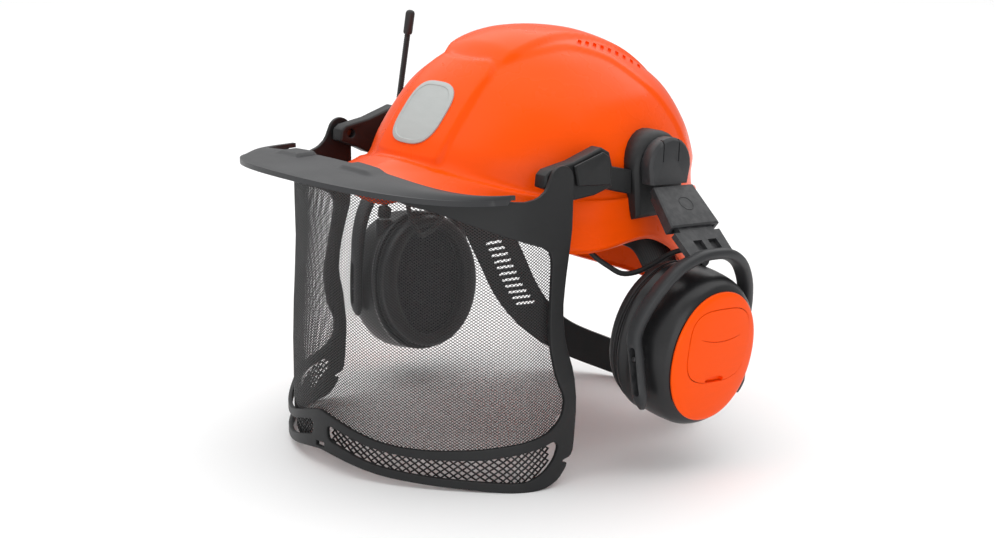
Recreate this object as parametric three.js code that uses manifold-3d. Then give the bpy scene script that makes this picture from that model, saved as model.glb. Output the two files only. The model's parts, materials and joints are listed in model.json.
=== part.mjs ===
// Forestry helmet: orange shell with harness, wire-mesh visor with peak, and a pair of ear muffs
// joined by a radio cable. Millimetres, +X is the wearer's left, -Y is the front, +Z is up.
// The helmet stands on the visor's lower edge and on the nape band.
import * as THREE from 'three';
import { mergeVertices } from 'three/addons/utils/BufferGeometryUtils.js';
import Module from 'manifold-3d';

const wasm = await Module();
wasm.setup();

// ---------- driving dimensions ----------
const GAP = 0.3; // play between pieces that touch
const SHELL = { centreY: -2, wall: 3, boxiness: 0.92, panelHalf: 30, panelRise: 2.5 };
const VISOR = { frame: 3, clear: 1.1, mesh: 0.8 }; // thickness of the frame and of the wire mesh
const HINGE = { y: -75.8, z: 201, ear: 9.5, pin: 3 }; // visor hinge, axis along X
const MOUNT = { y: 20, z: 194, face: 113 }; // ear muff mount on the shell's side
const ARM = { x: 121, z: 185, lean: 50, length: 35 }; // hinge line of the arm, and its lean outward
const CUP = { pivotX: 151.5, pivotZ: 80, inset: 7, tilt: 8 }; // pivot in the fork, and the cup's middle inside it
const TURN = { left: -3.4, right: -5.2 }; // how far each muff is turned about X, degrees
const DROP = { left: 0, right: 11.5 }; // how far each cup has slid down its fork
const BAND = { height: 26, side: 34, thick: 2 }; // nape band, taller at the sides
const CABLE = { radius: 1.8, sides: 8 };

// ---------- colours ----------
const paint = (color, roughness, metalness = 0) => ({ color, roughness, metalness });
const ORANGE = paint(0xf4510b, 0.25);
const BLACK = paint(0x2b2c2d, 0.5);
const DARK = paint(0x3b3d3f, 0.45);
const SOFT = paint(0x1c1c1d, 0.85);
const FABRIC = paint(0x202124, 0.95);
const STEEL = paint(0x9a9c9e, 0.35, 0.9);
const WIRE = paint(0x26282a, 0.5, 0.5);
const SILVER = paint(0xb4bab8, 0.4);
const FOAM = paint(0x4a4c50, 1);
const GREEN = paint(0x1f6b45, 0.5);

// ---------- small helpers ----------
const V = (x, y, z) => new THREE.Vector3(x, y, z);
const rad = THREE.MathUtils.degToRad;
const lerp = THREE.MathUtils.lerp;
const clamp01 = (t) => Math.min(1, Math.max(0, t));
const ease = (a, b, x) => {
  const t = clamp01((x - a) / (b - a));
  return t * t * (3 - 2 * t);
};

// smooth value read from a list of [key, value] pairs
function table(pairs, key) {
  const last = pairs.length - 1;
  let i = 0;
  while (i < last - 1 && key > pairs[i + 1][0]) i++;
  const [k0, v0] = pairs[i];
  const [k1, v1] = pairs[i + 1];
  const slope = (j) => {
    const a = pairs[Math.max(0, j - 1)];
    const b = pairs[Math.min(last, j + 1)];
    return (b[1] - a[1]) / (b[0] - a[0]);
  };
  const h = k1 - k0;
  const t = clamp01((key - k0) / h);
  const t2 = t * t;
  const t3 = t2 * t;
  return (2 * t3 - 3 * t2 + 1) * v0 + (t3 - 2 * t2 + t) * h * slope(i)
    + (3 * t2 - 2 * t3) * v1 + (t3 - t2) * h * slope(i + 1);
}

// closed body from points and faces of three or four corners, faces pointing out
function body(points, faces) {
  const index = new Map();
  const xyz = [];
  const ids = points.map((p) => {
    const key = `${p.x.toFixed(3)},${p.y.toFixed(3)},${p.z.toFixed(3)}`;
    if (!index.has(key)) {
      index.set(key, xyz.length / 3);
      xyz.push(p.x, p.y, p.z);
    }
    return index.get(key);
  });
  const tris = [];
  const push = (a, b, c) => {
    if (a !== b && b !== c && c !== a) tris.push(a, b, c);
  };
  for (const f of faces) {
    const [a, b, c, d] = f.map((i) => ids[i]);
    push(a, b, c);
    if (f.length === 4) push(a, c, d);
  }
  let volume = 0;
  const at = (i) => V(xyz[3 * i], xyz[3 * i + 1], xyz[3 * i + 2]);
  for (let i = 0; i < tris.length; i += 3) {
    volume += at(tris[i]).dot(at(tris[i + 1]).cross(at(tris[i + 2])));
  }
  if (volume < 0) {
    for (let i = 0; i < tris.length; i += 3) [tris[i], tris[i + 1]] = [tris[i + 1], tris[i]];
  }
  const geometry = new THREE.BufferGeometry();
  geometry.setAttribute('position', new THREE.Float32BufferAttribute(xyz, 3));
  geometry.setIndex(tris);
  return geometry;
}

// skin over rings of equal length; the ends are closed, or meet each other in a loop
function skin(rings, loop = false) {
  const n = rings[0].length;
  const points = rings.flat();
  const faces = [];
  const spans = loop ? rings.length : rings.length - 1;
  for (let i = 0; i < spans; i++) {
    const a = i * n;
    const b = ((i + 1) % rings.length) * n;
    for (let j = 0; j < n; j++) faces.push([a + j, a + ((j + 1) % n), b + ((j + 1) % n), b + j]);
  }
  if (!loop) {
    for (const [ring, flip] of [[0, true], [rings.length - 1, false]]) {
      const centre = rings[ring].reduce((s, p) => s.add(p), V(0, 0, 0)).divideScalar(n);
      points.push(centre);
      for (let j = 0; j < n; j++) {
        const a = ring * n + j;
        const b = ring * n + ((j + 1) % n);
        faces.push(flip ? [b, a, points.length - 1] : [a, b, points.length - 1]);
      }
    }
  }
  return body(points, faces);
}

// sheet between two surfaces given over a grid of u and v in 0..1
function sheet(outer, inner, nu, nv, loop = false) {
  const points = [];
  const rows = loop ? nu : nu + 1;
  for (const surface of [outer, inner]) {
    for (let i = 0; i < rows; i++) {
      for (let j = 0; j <= nv; j++) points.push(surface(i / nu, j / nv));
    }
  }
  const half = rows * (nv + 1);
  const at = (i, j) => (i % rows) * (nv + 1) + j;
  const faces = [];
  for (let i = 0; i < nu; i++) {
    for (let j = 0; j < nv; j++) {
      const q = [at(i, j), at(i + 1, j), at(i + 1, j + 1), at(i, j + 1)];
      faces.push(q, q.map((k) => k + half).reverse());
    }
    for (const j of [0, nv]) {
      const q = [at(i, j), at(i + 1, j), at(i + 1, j) + half, at(i, j) + half];
      faces.push(j === 0 ? q.reverse() : q);
    }
  }
  if (!loop) {
    for (let j = 0; j < nv; j++) {
      for (const i of [0, nu]) {
        const q = [at(i, j), at(i, j + 1), at(i, j + 1) + half, at(i, j) + half];
        faces.push(i === 0 ? q : q.reverse());
      }
    }
  }
  return body(points, faces);
}

// flat outline in two axes: points, with optional holes
function outline(points, holes = []) {
  const shape = new THREE.Shape(points.map(([a, b]) => new THREE.Vector2(a, b)));
  for (const h of holes) shape.holes.push(new THREE.Path(h.map(([a, b]) => new THREE.Vector2(a, b))));
  return shape;
}

// ring of points on a rounded box or ellipse: power 2 is an ellipse, more is boxier
function ovalPoints(a, b, n, power = 2, ca = 0, cb = 0) {
  return Array.from({ length: n }, (_, i) => {
    const t = (i / n) * 2 * Math.PI;
    const c = Math.cos(t);
    const s = Math.sin(t);
    const k = 2 / power;
    return [ca + a * Math.sign(c) * Math.abs(c) ** k, cb + b * Math.sign(s) * Math.abs(s) ** k];
  });
}

// extrusion of an outline in (y, z) from x0 to x1, with bevelled edges
function slabX(shape, x0, x1, bevel = 0) {
  const geometry = new THREE.ExtrudeGeometry(shape, {
    depth: x1 - x0 - 2 * bevel, bevelEnabled: bevel > 0, bevelSize: bevel, bevelThickness: bevel,
    bevelOffset: -bevel, bevelSegments: 1, curveSegments: 6,
  });
  geometry.translate(0, 0, x0 + bevel);
  return geometry.applyMatrix4(new THREE.Matrix4().set(0, 0, 1, 0, 1, 0, 0, 0, 0, 1, 0, 0, 0, 0, 0, 1));
}

// extrusion of an outline in (x, z) from y0 to y1
function slabY(shape, y0, y1, bevel = 0) {
  const geometry = new THREE.ExtrudeGeometry(shape, {
    depth: y1 - y0 - 2 * bevel, bevelEnabled: bevel > 0, bevelSize: bevel, bevelThickness: bevel,
    bevelOffset: -bevel, bevelSegments: 1, curveSegments: 6,
  });
  geometry.translate(0, 0, -y1 + bevel);
  return geometry.rotateX(Math.PI / 2);
}

function box(x0, x1, y0, y1, z0, z1) {
  const geometry = new THREE.BoxGeometry(x1 - x0, y1 - y0, z1 - z0);
  return geometry.translate((x0 + x1) / 2, (y0 + y1) / 2, (z0 + z1) / 2);
}

// round bar along one axis, from a to b
function bar(axis, radius, a, b, u, v, sides = 16) {
  const geometry = new THREE.CylinderGeometry(radius, radius, Math.abs(b - a), sides);
  if (axis === 'x') geometry.rotateZ(Math.PI / 2).translate((a + b) / 2, u, v);
  if (axis === 'y') geometry.translate(u, (a + b) / 2, v);
  if (axis === 'z') geometry.rotateX(Math.PI / 2).translate(u, v, (a + b) / 2);
  return geometry;
}

// sweep of a rounded rectangle along points; 'across' is kept as close to the given axis as it can be
function sweep(points, width, height, across, sides = 10, power = 3) {
  const rings = points.map((p, i) => {
    const before = points[Math.max(0, i - 1)];
    const after = points[Math.min(points.length - 1, i + 1)];
    const along = after.clone().sub(before).normalize();
    const a = across.clone().addScaledVector(along, -across.dot(along)).normalize();
    const b = along.clone().cross(a);
    return ovalPoints(width / 2, height / 2, sides, power)
      .map(([s, t]) => p.clone().addScaledVector(a, s).addScaledVector(b, t));
  });
  return skin(rings);
}

function solid(geometry) {
  const g = geometry.clone();
  g.deleteAttribute('normal');
  g.deleteAttribute('uv');
  const m = mergeVertices(g, 1e-4);
  const mesh = new wasm.Mesh({
    numProp: 3, vertProperties: new Float32Array(m.attributes.position.array), triVerts: new Uint32Array(m.index.array),
  });
  return new wasm.Manifold(mesh);
}

function geometryOf(manifold) {
  const mesh = manifold.getMesh();
  const geometry = new THREE.BufferGeometry();
  geometry.setAttribute('position', new THREE.Float32BufferAttribute(mesh.vertProperties, 3));
  geometry.setIndex(Array.from(mesh.triVerts));
  return geometry;
}

const cut = (from, ...tools) => geometryOf(tools.reduce((m, t) => m.subtract(solid(t)), solid(from)));
const join = (first, ...rest) => geometryOf(rest.reduce((m, t) => m.add(solid(t)), solid(first)));

// ---------- the helmet as a tree ----------
const helmet = new THREE.Group();
helmet.name = 'forestry_helmet';

// mirror image in x, faces kept pointing out
function mirrored(geometry) {
  const g = mergeVertices(geometry, 1e-5).scale(-1, 1, 1);
  const index = g.index.array;
  for (let i = 0; i < index.length; i += 3) [index[i], index[i + 1]] = [index[i + 1], index[i]];
  return g;
}

function add(name, geometry, { color, roughness, metalness }, parent = helmet) {
  const mesh = new THREE.Mesh(geometry, new THREE.MeshStandardMaterial({ color, roughness, metalness }));
  mesh.name = name;
  parent.add(mesh);
  return mesh;
}

// ---------- shell ----------
// distance from the middle and height, from the lip to the crown, for front, side and rear
const FRONT = [[141, 195], [141.5, 198], [128, 200], [117, 201], [108, 203], [98, 217], [82, 237], [64, 258],
  [43, 271], [21, 278.5], [0, 280.5]];
const SIDE = [[108, 151], [109.5, 155], [106.5, 166], [106, 177], [103.5, 181], [102, 200], [95.5, 221], [81, 243],
  [58, 264], [30, 276.5], [0, 280.5]];
const REAR = [[126, 82], [128, 86], [126.5, 122], [126, 158], [122, 163], [120.5, 185], [113, 211], [97, 238],
  [70, 261], [36, 275.5], [0, 280.5]];
const LEDGE = 3; // row of the ledge above the skirt
const LIP_EDGE = 3.5; // height of the lip's outer face
// height of the lip round the helmet, by angle from the front
const LIP = [[0, 195], [30, 185], [50, 166], [68, 153], [95, 153], [105, 145], [117, 126], [140, 95], [180, 82]];
const SHELL_TURNS = 40;
const SHELL_ROWS = 12;
// two rows of slanted grooves over the crown, each a little further out than the one before it
const VENTS = { count: 9, y: 12.5, pitch: 5.9, width: 2.6, x: 39, spread: 1.2, length: 14, slant: 43, depth: 1.6 };

function shellPoint(turn, rise) {
  const theta = turn * 2 * Math.PI;
  const s = Math.sin(theta);
  const c = Math.cos(theta);
  const row = rise * (FRONT.length - 1);
  const read = (profile, part) => table(profile.map((pair, i) => [i, pair[part]]), row);
  const end = c > 0 ? FRONT : REAR;
  const x = read(SIDE, 0) * Math.sign(s) * Math.abs(s) ** SHELL.boxiness;
  let y = SHELL.centreY - read(end, 0) * Math.sign(c) * Math.abs(c) ** SHELL.boxiness;
  let z = read(end, 1) * c * c + read(SIDE, 1) * s * s;
  if (row < LEDGE) {
    const lip = table(LIP, THREE.MathUtils.radToDeg(Math.acos(c)));
    const ledge = end[LEDGE][1] * c * c + SIDE[LEDGE][1] * s * s;
    z = row < 1 ? lip + LIP_EDGE * row : lerp(lip + LIP_EDGE, ledge, (row - 1) / (LEDGE - 1));
  }
  if (c > 0) {
    const raised = ease(LEDGE + 1, LEDGE + 2, row) * (1 - ease(256, 266, z))
      * (1 - ease(SHELL.panelHalf - 3, SHELL.panelHalf + 3, Math.abs(x)));
    y -= raised * SHELL.panelRise * 0.8;
    z += raised * SHELL.panelRise * 0.6;
  }
  return V(x, y, z);
}

// the shell's outer surface, moved out along its normal
function shellSurface(turn, rise, offset) {
  const p = shellPoint(turn, rise);
  const e = 2e-3;
  const round = shellPoint(turn + e, rise).sub(shellPoint(turn - e, rise));
  const up = shellPoint(turn, Math.min(1, rise + e)).sub(shellPoint(turn, Math.max(0, rise - e)));
  const normal = rise > 0.99 ? V(0, 0, 1) : up.cross(round).normalize();
  if (rise <= 0.99 && normal.x * p.x + normal.y * (p.y - SHELL.centreY) + normal.z * 40 < 0) normal.negate();
  return p.addScaledVector(normal, offset);
}

// solid filled to the shell's outer surface, or to a surface beside it
const filled = (offset) => skin(Array.from({ length: SHELL_ROWS }, (_, j) => (
  Array.from({ length: SHELL_TURNS }, (__, i) => shellSurface(i / SHELL_TURNS, j / SHELL_ROWS, offset)))));
const shellPlug = filled(GAP); // cuts what sits on the shell

function shell() {
  const wall = sheet(
    (u, v) => shellSurface(u, v, 0),
    (u, v) => shellSurface(u, v, -SHELL.wall),
    SHELL_TURNS, SHELL_ROWS, true,
  );
  const vents = [];
  for (const side of [-1, 1]) {
    for (let i = 0; i < VENTS.count; i++) {
      const x = side * (VENTS.x + VENTS.spread * i);
      vents.push(box(-VENTS.length / 2, VENTS.length / 2, -VENTS.width / 2, VENTS.width / 2, 235, 285)
        .rotateZ(rad(-side * VENTS.slant)).translate(x, VENTS.y + VENTS.pitch * i, 0));
    }
  }
  const core = filled(-VENTS.depth);
  const grooves = vents.map((vent) => cut(vent, core));
  const anchor = bar('x', 4, 96.5, 106, 0, 163, 10); // holds the nape band's end
  return cut(join(wall, anchor, mirrored(anchor)), ...grooves);
}
add('helmet_shell', shell(), ORANGE);

function badge() {
  const plate = slabY(outline(ovalPoints(22, 19, 20, 3, 0, 231)), -140, -60);
  return geometryOf(solid(plate).intersect(solid(filled(1.2))).subtract(solid(shellPlug)));
}
add('front_badge', badge(), SILVER);

// ---------- harness ----------
// the headband is lower at the back by its slope
const HEADBAND = { a: 78, b: 97, y: -2, low: 157, high: 181, thick: 2, slope: 0.1 };

function headLoop(inset, thick, from, to, steps) {
  const at = (grow) => (u, v) => {
    const t = 2 * Math.PI * lerp(from, to, u);
    const x = (HEADBAND.a - inset + grow) * Math.sin(t);
    const y = HEADBAND.y - (HEADBAND.b - inset + grow) * Math.cos(t);
    return V(x, y, lerp(HEADBAND.low, HEADBAND.high, v) - HEADBAND.slope * y);
  };
  return sheet(at(thick), at(0), steps, 1, to - from === 1);
}
add('headband', headLoop(0, HEADBAND.thick, 0, 1, 36), BLACK);
add('sweatband', headLoop(4.4, 4, -1 / 6, 1 / 6, 12), FABRIC);

// two crossed straps carry the crown; each ends in two clips on the shell
const STRAP = { width: 20, thick: 1.5, reach: 96, foot: 190, apex: 240, turn: 40 };
function crownStrap(turn, lift) {
  const place = (grow) => (u, v) => {
    const t = lerp(-1, 1, u);
    const along = STRAP.reach * t * (1 - 0.12 * (1 - t * t));
    const height = lerp(STRAP.apex + lift, STRAP.foot, Math.abs(t) ** 2.4) + grow;
    const p = V(lerp(-0.5, 0.5, v) * STRAP.width, along, height);
    return p.applyAxisAngle(V(0, 0, 1), rad(turn)).add(V(0, SHELL.centreY, 0));
  };
  return sheet(place(STRAP.thick), place(0), 20, 1);
}
for (const [name, turn, lift] of [['crown_strap_left', STRAP.turn, 0], ['crown_strap_right', -STRAP.turn, 3]]) {
  add(name, crownStrap(turn, lift), FABRIC);
}
for (const [name, turn] of [['front_left', 180 + STRAP.turn], ['front_right', 180 - STRAP.turn],
  ['rear_left', -STRAP.turn], ['rear_right', STRAP.turn]]) {
  const clip = join(
    box(-9, 9, 92, 99, 174, 189.5),
    box(-7, 7, 93, 96, 163, 175),
  ).rotateZ(rad(turn)).translate(0, SHELL.centreY, 0);
  add(`harness_clip_${name}`, clip, BLACK);
}

// nape band: from beside the headband down round the back of the head
const NAPE_ROUTE = [V(94, 0, 163), V(95, 22, 152), V(96, 37, 127), V(96, 55, 95), V(95, 71, 65), V(89, 86, 43),
  V(75, 100, 28), V(42, 117, 17), V(0, 124, BAND.height / 2)];
const SLOTS = { count: 11, start: 68, pitch: 5.9, length: 13.5, height: 2.4, rise: 5 }; // along one half of the route
function napeBand() {
  const half = new THREE.CatmullRomCurve3(NAPE_ROUTE);
  const whole = NAPE_ROUTE.concat(NAPE_ROUTE.slice(0, -1).reverse().map((p) => V(-p.x, p.y, p.z)));
  const route = new THREE.CatmullRomCurve3(whole);
  const place = (grow) => (u, v) => {
    const p = route.getPoint(u);
    const along = route.getTangent(u);
    const out = V(p.x, p.y - 10, 0).normalize();
    const across = out.clone().cross(along).normalize();
    if (across.z < 0) across.negate();
    const height = lerp(BAND.height, BAND.side, ease(0.14, 0.3, Math.abs(u - 0.5)));
    return p.addScaledVector(out, grow).addScaledVector(across, lerp(-0.5, 0.5, v) * height);
  };
  const band = sheet(place(BAND.thick / 2), place(-BAND.thick / 2), 36, 1);
  const slots = [];
  for (let i = 0; i < SLOTS.count; i++) {
    const p = half.getPointAt((SLOTS.start + i * SLOTS.pitch) / half.getLength());
    const slot = slabX(outline(ovalPoints(SLOTS.length / 2, SLOTS.height / 2, 12, 4)), -8, 8)
      .rotateX(rad(SLOTS.rise)).translate(p.x, p.y, p.z);
    slots.push(slot, mirrored(slot));
  }
  return cut(band, ...slots);
}
add('nape_band', napeBand(), BLACK);

// ---------- visor ----------
// plan of the visor at some heights: straight sides from backY forward, joined by a rounded front.
// The sides stand wider apart at the foot than at the hinge
const LEVELS = [[0, 128.5, 74.5], [70, 128.5, 74.5], [98, 126, 75], [117, 123.5, 76], [146, 120.5, 77.5],
  [170, 121.5, 77.5], [210, 122, 77.5]];
const PLAN_ROUNDNESS = 2.1;
const STEPS = 160;
const PLANS = LEVELS.map(([z, halfWidth, depth]) => {
  const backY = -181.5 + depth;
  const plan = [];
  for (let i = 0, length = 0; i <= STEPS; i++) {
    const t = (i / STEPS) * (Math.PI / 2);
    const p = [halfWidth * Math.sin(t), backY - depth * Math.max(0, Math.cos(t)) ** PLAN_ROUNDNESS];
    if (i) length += Math.hypot(p[0] - plan[i - 1][1], p[1] - plan[i - 1][2]);
    plan.push([length, ...p]);
  }
  return { z, halfWidth, backY, plan, quarter: plan[STEPS][0] };
});

// plan point at one level by arc length from the centre line, positive to the wearer's left
function levelPoint({ halfWidth, backY, plan, quarter }, s) {
  const a = Math.abs(s);
  const side = Math.sign(s || 1);
  if (a >= quarter) return V(side * halfWidth, backY + a - quarter, 0);
  let i = 0;
  while (plan[i + 1][0] < a) i++;
  const t = (a - plan[i][0]) / (plan[i + 1][0] - plan[i][0]);
  return V(side * lerp(plan[i][1], plan[i + 1][1], t), lerp(plan[i][2], plan[i + 1][2], t), 0);
}

// mean of the points a little before and behind, so that the side runs smoothly into the front
const SOFTEN = { each: 4, count: 4 };
function planPoint(s, z) {
  let i = 0;
  while (i < PLANS.length - 2 && z > PLANS[i + 1].z) i++;
  const t = clamp01((z - PLANS[i].z) / (PLANS[i + 1].z - PLANS[i].z));
  const sum = V(0, 0, 0);
  for (let k = -SOFTEN.count; k <= SOFTEN.count; k++) {
    const q = s + k * SOFTEN.each;
    sum.add(levelPoint(PLANS[i], q).lerp(levelPoint(PLANS[i + 1], q), t));
  }
  return sum.divideScalar(2 * SOFTEN.count + 1);
}

// point on the visor: arc length, height and depth behind the outer face
function onVisor(s, z, depth) {
  const along = planPoint(s + 1, z).sub(planPoint(s - 1, z)).normalize();
  return planPoint(s, z).add(V(-along.y, along.x, 0).multiplyScalar(depth)).setZ(z);
}

// points added so that no edge is longer than the step
function dense(points, step = 15) {
  return points.flatMap(([a0, b0], i) => {
    const [a1, b1] = points[(i + 1) % points.length];
    const n = Math.max(1, Math.ceil(Math.hypot(a1 - a0, b1 - b0) / step));
    return Array.from({ length: n }, (_, k) => [lerp(a0, a1, k / n), lerp(b0, b1, k / n)]);
  });
}
const bothSides = (half) => half.concat(half.filter(([s]) => s > 0).reverse().map(([s, z]) => [-s, z]));

// outline in arc length and height, bent onto the visor strip by strip
const STRIP = 12.5;
function wrapped(shape, near, far) {
  const flat = solid(new THREE.ExtrudeGeometry(shape, { depth: far - near, bevelEnabled: false }));
  const strips = [];
  for (let s = -STRIP * 16; s < STRIP * 16; s += STRIP) {
    const part = flat.intersect(solid(box(s, s + STRIP, -10, 230, -1, 10)));
    if (part.isEmpty()) continue;
    strips.push(part.warp((p) => {
      const q = onVisor(p[0], p[1], far - p[2]);
      p[0] = q.x;
      p[1] = q.y;
      p[2] = q.z;
    }));
  }
  const pieces = wasm.Manifold.union(strips).decompose();
  return geometryOf(pieces.sort((a, b) => b.volume() - a.volume())[0]);
}

const EAR_S = 178;
const earArc = Array.from({ length: 7 }, (_, i) => {
  const t = (i / 6) * 0.86 * Math.PI;
  return [EAR_S + HINGE.ear * Math.cos(t), HINGE.z + HINGE.ear * Math.sin(t)];
});
const FRAME_EDGE = [[0, 13.8], [15, 12], [35, 8.3], [54, 5.3], [89, 2.6], [121, 0.8], [140, 0], [160, 0], [170, 1.6],
  [178, 5.1], [184, 11.8], [185, 15], [181.5, 15.8], [181.5, 17.3], [188, 18.6], [190.5, 24], [193, 54], [190.7, 74],
  [182.6, 96], [180, 116], [182, 136], [185, 155], [187, 170], ...earArc, [165, 196], [158, 191.5], [146, 189.5],
  [121, 193], [90, 196.5], [60, 199], [0, 200]];
const MESH_WINDOW = [[0, 41.2], [4, 40.5], [18, 37], [35, 32], [50, 28.3], [68, 26.4], [89, 26], [121, 28.5],
  [136, 31.2], [152, 33.7], [166, 36.8], [175, 41], [181, 47.6], [183, 56.6], [181.5, 62], [174.5, 76.8], [169.5, 97.7],
  [169.5, 124], [170.6, 149], [167.4, 157.4], [147, 163.9], [121, 172.3], [90, 182.8], [70, 188], [40, 193],
  [0, 195]];
const CHIN_WINDOW = [[8, 32.8], [26.6, 28.4], [43, 23.7], [68, 20.8], [89, 20], [121, 21.2], [141.5, 25.1],
  [163.4, 28.9], [174.2, 31.7], [177.7, 27.4], [174.3, 19.1], [166.4, 12.2], [155, 7.2], [147, 6.2], [121, 7], [89, 8.3],
  [68, 10], [50, 11.8], [35, 15], [22, 18.8], [8, 22.1]];
const mirror2 = (points) => points.map(([s, z]) => [-s, z]).reverse();

const visorFrame = wrapped(outline(dense(bothSides(FRAME_EDGE)), [
  dense(bothSides(MESH_WINDOW)),
  dense(CHIN_WINDOW),
  dense(mirror2(CHIN_WINDOW)),
  [[-4.6, 15.6], [4.6, 15.6], [4.6, 18.8], [-4.6, 18.8]],
]), 0, VISOR.frame);
add('visor_frame', visorFrame, BLACK);

function visorMesh() {
  const low = [[0, 37], [20, 32], [50, 24.2], [90, 22.8], [121, 25], [152, 30], [166, 33], [180, 40]];
  const high = [[0, 198], [70, 192], [90, 187], [121, 177], [150, 167], [175, 160]];
  const reach = [[0, 175], [0.1, 185], [0.25, 184], [0.45, 175.5], [1, 175]];
  const at = (depth) => (u, v) => {
    const s = lerp(-1, 1, u) * table(reach, v);
    return onVisor(s, lerp(table(low, Math.abs(s)), table(high, Math.abs(s)), v), depth);
  };
  const front = VISOR.frame + VISOR.clear;
  return sheet(at(front), at(front + VISOR.mesh), 36, 3);
}
add('visor_mesh', visorMesh(), WIRE);

function chinGrille() {
  const low = [[5, 19], [22, 15.6], [35, 12], [50, 8.8], [89, 5.5], [121, 4.2], [147, 3.6], [160, 6], [176, 14]];
  const high = [[5, 35.6], [26.6, 31], [43, 26.4], [68, 23.4], [89, 22.3], [121, 23.6], [163, 31.6], [176, 34.6]];
  const at = (depth) => (u, v) => {
    const s = lerp(5, 177, u);
    return onVisor(s, Math.min(lerp(table(low, s), table(high, s), v), table(high, s)), depth);
  };
  const front = VISOR.frame + 2 * VISOR.clear + VISOR.mesh;
  return sheet(at(front), at(front + 1), 24, 1);
}
add('chin_grille_left', chinGrille(), BLACK);
add('chin_grille_right', mirrored(chinGrille()), BLACK);

// peak: a crescent on top of the visor, with a square front corner on each side
const PEAK = { half: 123, front: 206, back: -96, inner: 168, thick: 3, sweep: 80 };
function peak() {
  const place = (drop) => (u, v) => {
    const t = lerp(-1, 1, u) * rad(PEAK.sweep);
    const s = Math.sin(t);
    const c = Math.cos(t);
    const x = PEAK.half * Math.sign(s) * Math.abs(s) ** 0.86;
    const outer = V(x, PEAK.back - (PEAK.front + PEAK.back) * c ** 0.86, 200 - 9.5 * s * s);
    const reach = lerp(PEAK.inner, PEAK.front - 10, s * s);
    const inner = V(0.99 * x, PEAK.back - (reach + PEAK.back) * c ** 0.86 + 5, 204.5 - 12 * s * s);
    const p = outer.lerp(inner, v);
    p.z += 1.6 * Math.sin(v * Math.PI) + drop;
    return p;
  };
  return sheet(place(PEAK.thick), place(0), 26, 3);
}
add('visor_peak', peak(), DARK);

// ---------- visor brackets, one on each side ----------
// outlines in y and z
const BRACKET = [[-85, 196], [-84, 204], [-80, 207], [-60, 210], [-36, 217], [-29, 213], [-26, 203], [-26, 190],
  [-42, 186], [-60, 185], [-70, 190]];
const BRACKET_COVER = [[-62, 208], [-37, 214.5], [-32, 211], [-30, 192], [-59, 194.5]];
const LINK = [[-25.7, 203], [-4, 197.5], [-4, 181], [-25.7, 187]];
const FACE = { bracket: 116, cover: 119.5, link: 110.5, inner: 104.5 };
const pinHole = bar('x', HINGE.pin + GAP, 96, 125, HINGE.y, HINGE.z, 16);

const sides = [['left', (g) => g], ['right', mirrored]];
for (const [side, place] of sides) {
  const block = slabX(outline(BRACKET), FACE.inner, FACE.bracket, 1.2);
  add(`visor_bracket_${side}`, place(cut(block, pinHole)), BLACK);
  add(`bracket_cover_${side}`, place(slabX(outline(BRACKET_COVER), FACE.bracket + GAP, FACE.cover, 0.8)), BLACK);
  const link = cut(slabX(outline(LINK), 96, FACE.link, 1), shellPlug);
  add(`bracket_link_${side}`, place(link), BLACK);
  add(`hinge_pin_${side}`, place(bar('x', HINGE.pin, 107, 118.6, HINGE.y, HINGE.z, 12)), STEEL);
}

// ---------- ear muff mounts ----------
// outline with a round top and a flat foot, half width w, from low to the top of the arc at high
function arch(w, low, high, n = 12) {
  const top = Array.from({ length: n + 1 }, (_, i) => {
    const t = (i / n) * Math.PI;
    return [w * Math.cos(t), high - w + w * Math.sin(t)];
  });
  return [...top, [-w + 2, low], [w - 2, low]];
}
const BASE = { half: 24, low: -31, high: 27 };

// all of a muff is given from the mount's pivot: x from the middle plane, y and z from the pivot
const muffs = {};
for (const [side, place] of sides) {
  const rings = [[92, 0], [107, 0], [111, 1.5], [MOUNT.face, 4]].map(([x, inset]) => (
    arch(BASE.half - inset, BASE.low + inset, BASE.high - inset)
      .map(([y, z]) => V(x, y + MOUNT.y, z + MOUNT.z))));
  add(`muff_mount_${side}`, place(cut(skin(rings), shellPlug)), BLACK);
  muffs[side] = new THREE.Group();
  muffs[side].position.set(0, MOUNT.y, MOUNT.z);
  muffs[side].rotation.x = rad(TURN[side]);
  helmet.add(muffs[side]);
}

// pivot cap: turns on the mount, carries the arm's hinge at its foot
const CAP = { half: 19, low: ARM.z + 2 - MOUNT.z, high: 24, x0: MOUNT.face + GAP, x1: 123 };
function pivotCap() {
  const block = skin([[CAP.x0, 0], [CAP.x1 - 2, 0], [CAP.x1, 2]].map(([x, inset]) => (
    arch(CAP.half - inset, CAP.low, CAP.high - inset).map(([y, z]) => V(x, y, z)))));
  return cut(block,
    box(CAP.x1 - 4, CAP.x1 + 1, -8.6, -7.6, 8, 26),
    box(CAP.x1 - 4, CAP.x1 + 1, 5.4, 6.4, 8, 26));
}

// the arm leans outward: shapes drawn flat in y and along the arm, with x as the height above its hinge,
// are turned about the hinge line
const leaned = (geometry) => geometry.rotateY(rad(-ARM.lean)).translate(ARM.x, 0, ARM.z - MOUNT.z);
const ARM_SIDES = { top: [-15.5, 20.5], foot: [-22.5, 21.5] };
const plate = (x0, x1, corners, bevel = 0) => slabX(outline(corners.map(([y, along]) => [y, -along])), x0, x1, bevel);
function upperArm() {
  const { top, foot } = ARM_SIDES;
  const sleeve = plate(-6.5, 2.5, [[top[0], 0.8], [foot[0], ARM.length], [foot[1], ARM.length], [top[1], 0.8]], 1);
  const slot = plate(-4.7, 0.2, [[-16, 9], [-20, ARM.length + 2], [19, ARM.length + 2], [17.5, 9]]);
  const heel = box(-9, -3.4, -30, 30, -5, 0.1);
  return leaned(cut(sleeve, slot, heel));
}

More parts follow.
